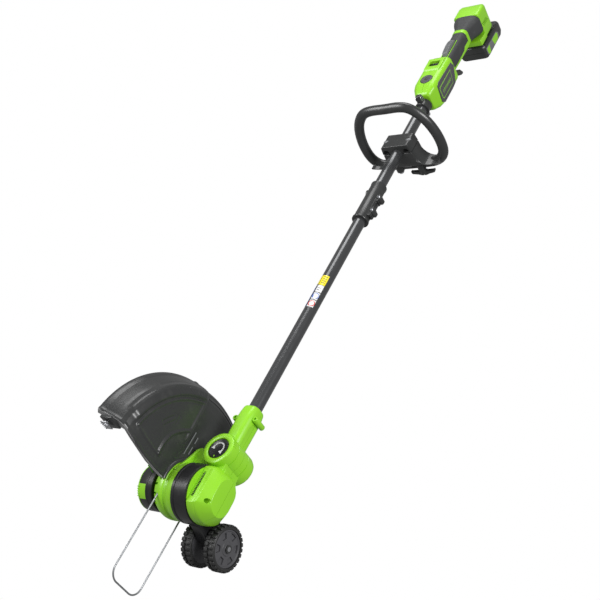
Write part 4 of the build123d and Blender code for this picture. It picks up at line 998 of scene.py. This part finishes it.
# %% Collar
collar = turned("collar",
    [(948, 12.7), (948, 16.2), (948.8, 17), (952, 17), (953, 16), (963, 16), (964, 17), (967.2, 17),
    (968, 16.2), (968, 12.7)], axis="S", sides=64)
ear_block = rounded(slab("ear_block",
    [(13, 951), (27, 951), (32.4, 954), (32.4, 962), (27, 965), (13, 965)], -6, 6), 1.4)
cut(ear_block, turned("eye_way", [(-20, 6.1), (20, 6.1)], t=24, s=958, sides=40))
lug = block("lug", -5, 5, -25, -13.5, 951.4, 964.6, soft=1.4)
cut(lug, block("slit", -0.9, 0.9, -40, -10, 940, 980))
fit(gather("strap_collar", [collar, ear_block, lug]), "upper_shaft", "black_plastic", "harness_collar")

# %% [markdown]
# ## Switch housing
# The green housing swells in front of the rear grip. Its broad front face carries the round speed
# button and a raised frame with a dark window; each flank has a dark inlay with a green border.
# A rounded box that changes size ring by ring gives the swelling, and Bevel softens its corners.

# %% Housing body
body = column("body", [(970, -17, 17, -19, 22), (974, -20, 20, -22, 26), (990, -27, 27, -28, 32.4),
    (1003, -29, 29, -30, 35), (1092, -29, 29, -30, 35), (1101, -24.5, 24.5, -27, 30.5),
    (1107, -19, 19, -22, 24)], corner=8, steps=6)
rounded(body, 2.0, segments=3, angle=14)
clear_tube(body, 940, 976, radius=13, sides=48)
cut(body, turned("button_way", [(25, 15), (60, 15)], axis="T", s=1014, sides=64))
cut(body, block("window_way", -12.9, 12.9, 31.5, 60, 1058.5, 1077.5, soft=1.6))
cut(body, block("trigger_way", -6.6, 6.6, -60, -24, 1080, 1120))
cut(body, block("light_slot", -13, -3, 30, 60, 979, 984, soft=1.0))
cut(body, block("seam", -0.2, 0.2, -60, 60, 960, 1110))
frame_ring = column("frame_ring",
    [(1045, -18.5, 18.5, 30, 35.4), (1049.5, -20.5, 20.5, 30, 38.2), (1087, -20.5, 20.5, 30, 38.2),
    (1092, -17, 17, 30, 35.2)], corner=1.0, steps=2)
rounded(frame_ring, 1.8, segments=4, angle=20)
cut(frame_ring, block("window_way", -12.9, 12.9, 20, 60, 1058.5, 1077.5, soft=1.6))
fit(gather("switch_housing", [body, frame_ring]), "upper_shaft", "green_plastic")
window = [block("louvre", -12.6, 12.6, 31.6, 33.6, s, s + 1.7, soft=0.5)
    for s in (1060, 1063.2, 1066.4, 1069.6, 1072.8)]
window.append(block("window_back", -12.7, 12.7, 31.2, 32.2, 1058.7, 1077.3))
fit(gather("window_grille", window), "upper_shaft", "grey_plastic", "window_insert", finish=jet)

# %% Round speed button
button = turned("button", [(28, 14.2), (35.4, 14.2), (36.2, 13.4), (36.5, 12), (36.2, 9), (35.9, 4)],
    axis="T", s=1014, sides=64)
icon = [block("icon", -4.2, 4.2, 36.0, 36.45, 1014 + d, 1015.3 + d, soft=0.2) for d in (-3.6, 2.4)]
fit(button, "speed_button", "grey_plastic", "speed_button", finish=slate)
fit(gather("button_marks", icon), "speed_button", "grey_plastic", finish=jet)

# %% Flank inlays with a green border
FLANK = [(23, 1085), (10, 1092), (-22, 1072), (-24, 1056), (-24, 1002), (-16, 992), (22, 998), (26, 1008)]
LINE = [(14.5, 1071), (-15, 1062), (-15, 1003), (-12, 1000), (11, 1000), (14.5, 1004)]


def flank_panel(side, outline, shrink, low, high):
    """A raised panel on one flank; shrink moves its outline towards the flank's middle."""
    spots = [(t - shrink * (1 if t > 0 else -1), s - shrink * (1 if s > 1036 else -1)) for t, s in outline]
    return rounded(slab("flank", spots, *sorted((side * low, side * high))), 0.3, segments=2, angle=60)


dark = [flank_panel(side, FLANK, 0, 27, 29.7) for side in (1, -1)]
inner = [flank_panel(side, LINE, 1.3, 27, 30.1) for side in (1, -1)]
line = [flank_panel(side, LINE, 0, 27, 29.95) for side in (1, -1)]
marks = [rounded(slab("mark", [(-5, s), (2, s + 3.4), (2, s + 5), (-5, s + 1.6)],
    *sorted((side * 29, side * 30.3))), 0.2) for side in (1, -1) for s in range(1010, 1058, 6)]
fit(gather("flank_inlays", dark + inner), "upper_shaft", "grey_plastic", "handle_inlays", finish=slate)
fit(gather("flank_line", line), "upper_shaft", "green_plastic")
fit(gather("flank_marks", marks), "upper_shaft", "green_plastic")

# %% [markdown]
# ## Rear grip
# The hand closes round a dark soft overmould with a green spine below and a green ring at its end.
# On top lies a ribbed paddle that frees the trigger. The overmould is a rounded column that is
# a little waisted; the spine is the same column, a hair larger, kept only at the bottom.

# %% Overmould, spine and ring
soft = column("soft", [(1100, -17, 17, -21, 23), (1108, -15.6, 15.6, -19, 20.2),
    (1130, -16.2, 16.2, -19.4, 20), (1170, -17, 17, -20, 20.2), (1211.6, -17.2, 17.2, -20.2, 20.4)],
    corner=11, steps=7)
cut(soft, block("paddle_way", -7.2, 7.2, 10, 40, 1114, 1182, soft=1.5))
spine = column("spine",
    [(1096, -15, 15, -24, 0), (1108, -15.9, 15.9, -19.8, 0), (1130, -16.5, 16.5, -20.1, 0),
    (1170, -17.2, 17.2, -20.5, 0), (1214, -17.4, 17.4, -20.5, 0)], corner=7, steps=6)
cut(spine, block("trigger_way", -6.6, 6.6, -60, -21.4, 1080, 1116))
cut(spine, slab("keep_off", [(-11, 1090), (-12.5, 1130), (-10, 1180), (6, 1206), (6, 1090)], -30, 30))
seam_ring = column("end_ring",
    [(1211.8, -18, 18, -20.9, 21), (1213, -18.9, 18.9, -21.5, 21.6), (1221.6, -18.9, 18.9, -21.5, 21.6),
    (1223, -18, 18, -20.9, 21)], corner=12, steps=7)
fit(soft, "upper_shaft", "grip_rubber", "grip_sleeve")
fit(gather("grip_spine", [spine, seam_ring]), "upper_shaft", "green_plastic")
side_lines = [block("grip_line", side * 8.0, side * 9.6, 19.4, 21.0, 1116, 1180, soft=0.5)
    for side in (1, -1)]
fit(gather("grip_lines", side_lines), "upper_shaft", "green_plastic")

# %% Paddle and trigger
paddle = slab("paddle",
    [(9, 1174), (20, 1180), (27, 1173), (29.6, 1150), (26.5, 1124), (16, 1118), (11, 1124)], -6.4, 6.4)
rounded(paddle, 1.4, segments=3, angle=20)
ribs = []
for s in range(1128, 1168, 4):
    crown = 27.0 + 2.6 * sin(radians(min(90, (s - 1124) * 3.2))) - 0.012 * max(0, s - 1150) ** 1.6
    ribs.append(block("rib", -5.6, 5.6, crown - 2, crown + 0.5, s, s + 1.7, soft=0.5))
fit(gather("lock_paddle", [paddle] + ribs), "lock_off_lever", "grey_plastic", "lock_off_lever", finish=ash)
trigger = slab("finger_trigger",
    [(-14, 1082), (-14, 1092), (-24, 1094), (-29, 1098), (-29, 1109), (-33, 1135), (-39, 1149), (-51, 1157),
    (-55, 1155), (-53, 1146), (-45, 1132), (-39, 1117), (-34, 1099), (-27, 1082)], -5.9, 5.9)
fit(rounded(trigger, 1.6, segments=3, angle=20), "trigger", "grey_plastic", "trigger", finish=charcoal)

# %% [markdown]
# ## Neck and rear housing
# Behind the ring the tool widens: a dark soft cover flares like a bell, and the green rear housing
# sits behind it on the battery, with slanted vents in both flanks.

# %% Bell-shaped neck
neck = column("neck", [(1222.6, -18.2, 18.2, -20.8, 20.8), (1230, -19.4, 19.4, -21.2, 21.4),
    (1240, -22.8, 22.8, -22.6, 23), (1252, -28.4, 28.4, -25.2, 25.4), (1262, -32, 32, -27.4, 25.8),
    (1272, -32.8, 32.8, -28.2, 25.8)], corner=12, steps=7)
fit(rounded(neck, 1.0, segments=2, angle=40), "upper_shaft", "grip_rubber", "neck_cover")
rear = column("rear", [(1271, -32.4, 32.4, -40.6, 25.4), (1273, -33, 33, -41, 26), (1308, -33, 33, -41, 26),
    (1318, -31, 31, -41, 24), (1325.6, -26.5, 26.5, -41, 19)], corner=7, steps=5)
rounded(rear, 1.6, segments=3, angle=12)
apron = block("apron", -33, 33, -41, -27.5, 1238.5, 1276, soft=2.4)
for side in (1, -1):
    low, high = sorted((side * 30, side * 40))
    for s in range(1273, 1303, 5):
        cut(rear, slab("vent", [(-2, s), (-13, s + 7), (-13, s + 9.2), (-2, s + 2.2)], low, high))
fit(gather("rear_housing", [rear, apron]), "upper_shaft", "green_plastic", "handle_shell_left",
    "handle_shell_right")

# %% [markdown]
# ## Battery
# The pack slides on along the shaft. Its sides are faceted, a ribbed rail line runs along the top,
# and a label panel sits on each side; here the panel carries plain bars only.

# %% Case, rails and panel
case = column("case", [(1237, -31, 31, -76, -45), (1243, -36, 36, -79.4, -42.6),
    (1334, -36.9, 36.9, -79.8, -42.2), (1345, -34.5, 34.5, -77, -43), (1350.6, -28, 28, -70, -46)],
    corner=7, steps=2)
rounded(case, 1.2, segments=2, angle=15)
cut(case, block("latch_way", -13.4, 13.4, -47.6, -30, 1331.8, 1347.4))
cut(case, block("seam", -50, 50, -60.3, -59.7, 1230, 1360))
rails = [block("rail", side * 20, side * 26, -46, -36.6, 1244, 1324, soft=0.8) for side in (1, -1)]
rail_ribs = [block("rail_rib", side * 30, side * 36.4, -44.2, -41.9, s, s + 1.8, soft=0.4)
    for side in (1, -1) for s in range(1246, 1330, 4)]
fit(gather("battery_shell", [case] + rails + rail_ribs), "battery", "black_plastic", "battery_upper_case",
    "battery_lower_case", finish=charcoal)
panels = [rounded(slab("label",
    [(-53, 1241), (-53, 1312), (-60, 1322), (-74, 1322), (-74, 1247), (-69, 1241)], side * 35,
    side * 36.98), 0.4, segments=2, angle=60) for side in (1, -1)]
fit(gather("battery_label", panels), "battery", "black_plastic", finish=ash)
label_lines = []
for side in (1, -1):
    for outline in ([(-55, 1244), (-55, 1262), (-72, 1258), (-72, 1249), (-68, 1244)],
            [(-55, 1282), (-55, 1310), (-60, 1317), (-72, 1310), (-72, 1286)]):
        label_lines.append(slab("label_bar", outline, *sorted((side * 36.2, side * 37.0))))
fit(gather("label_bars", label_lines), "battery", "green_plastic")
latch = block("latch", -13, 13, -45, -41.6, 1332.4, 1346.7, soft=0.9)
grips = [block("latch_rib", -9, 9, -42, -41.5, s, s + 1.2, soft=0.2) for s in (1336, 1339, 1342)]
fit(gather("battery_catch", [latch] + grips), "battery_latch", "grey_plastic", "battery_latch",
    finish=charcoal)

# %% [markdown]
# ## Studio
# The tool stands in front of plain white, with nothing under it. One large soft light hangs high on
# the left, a second on the right draws the long streak on the tube, and a third comes from above.
# The world is white to the camera but lights the tool only faintly, so the black mouldings stay black.

# %% Light
low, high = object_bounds()
world = bpy.context.scene.world or bpy.data.worlds.new("studio")
bpy.context.scene.world = world
world.use_nodes = True
sky = world.node_tree
sky.nodes["Background"].inputs["Color"].default_value = (1, 1, 1, 1)
ray = sky.nodes.new("ShaderNodeLightPath")
level = sky.nodes.new("ShaderNodeMapRange")
level.inputs["To Min"].default_value = 0.3
level.inputs["To Max"].default_value = 1.0
sky.links.new(ray.outputs["Is Camera Ray"], level.inputs["Value"])
sky.links.new(level.outputs["Result"], sky.nodes["Background"].inputs["Strength"])
middle = Vector([(a + b) / 2 for a, b in zip(low, high)])


def soft_light(name, place, size, watts):
    clear_selection()
    bpy.ops.object.light_add(type="AREA", location=place)
    lamp = bpy.context.object
    lamp.name = name
    lamp.data.size = size
    lamp.data.energy = watts
    lamp.rotation_euler = (middle - Vector(place)).to_track_quat("-Z", "Y").to_euler()


soft_light("window_left", (-1.3, -1.8, 1.9), 1.3, 60)
soft_light("window_right", (2.3, -0.5, 1.0), 1.0, 52)
soft_light("window_top", (0.0, 0.3, 3.2), 1.4, 30)

# %% Camera
clear_selection()
bpy.ops.object.camera_add(location=(1.1211, -1.2353, 0.4585), rotation=(radians(90), 0, radians(37.6)))
camera = bpy.context.object
camera.data.sensor_width = 36
camera.data.lens = 59.1
bpy.context.scene.camera = camera
bpy.context.scene.view_settings.view_transform = "Standard"
print("camera looks level, from the front right")
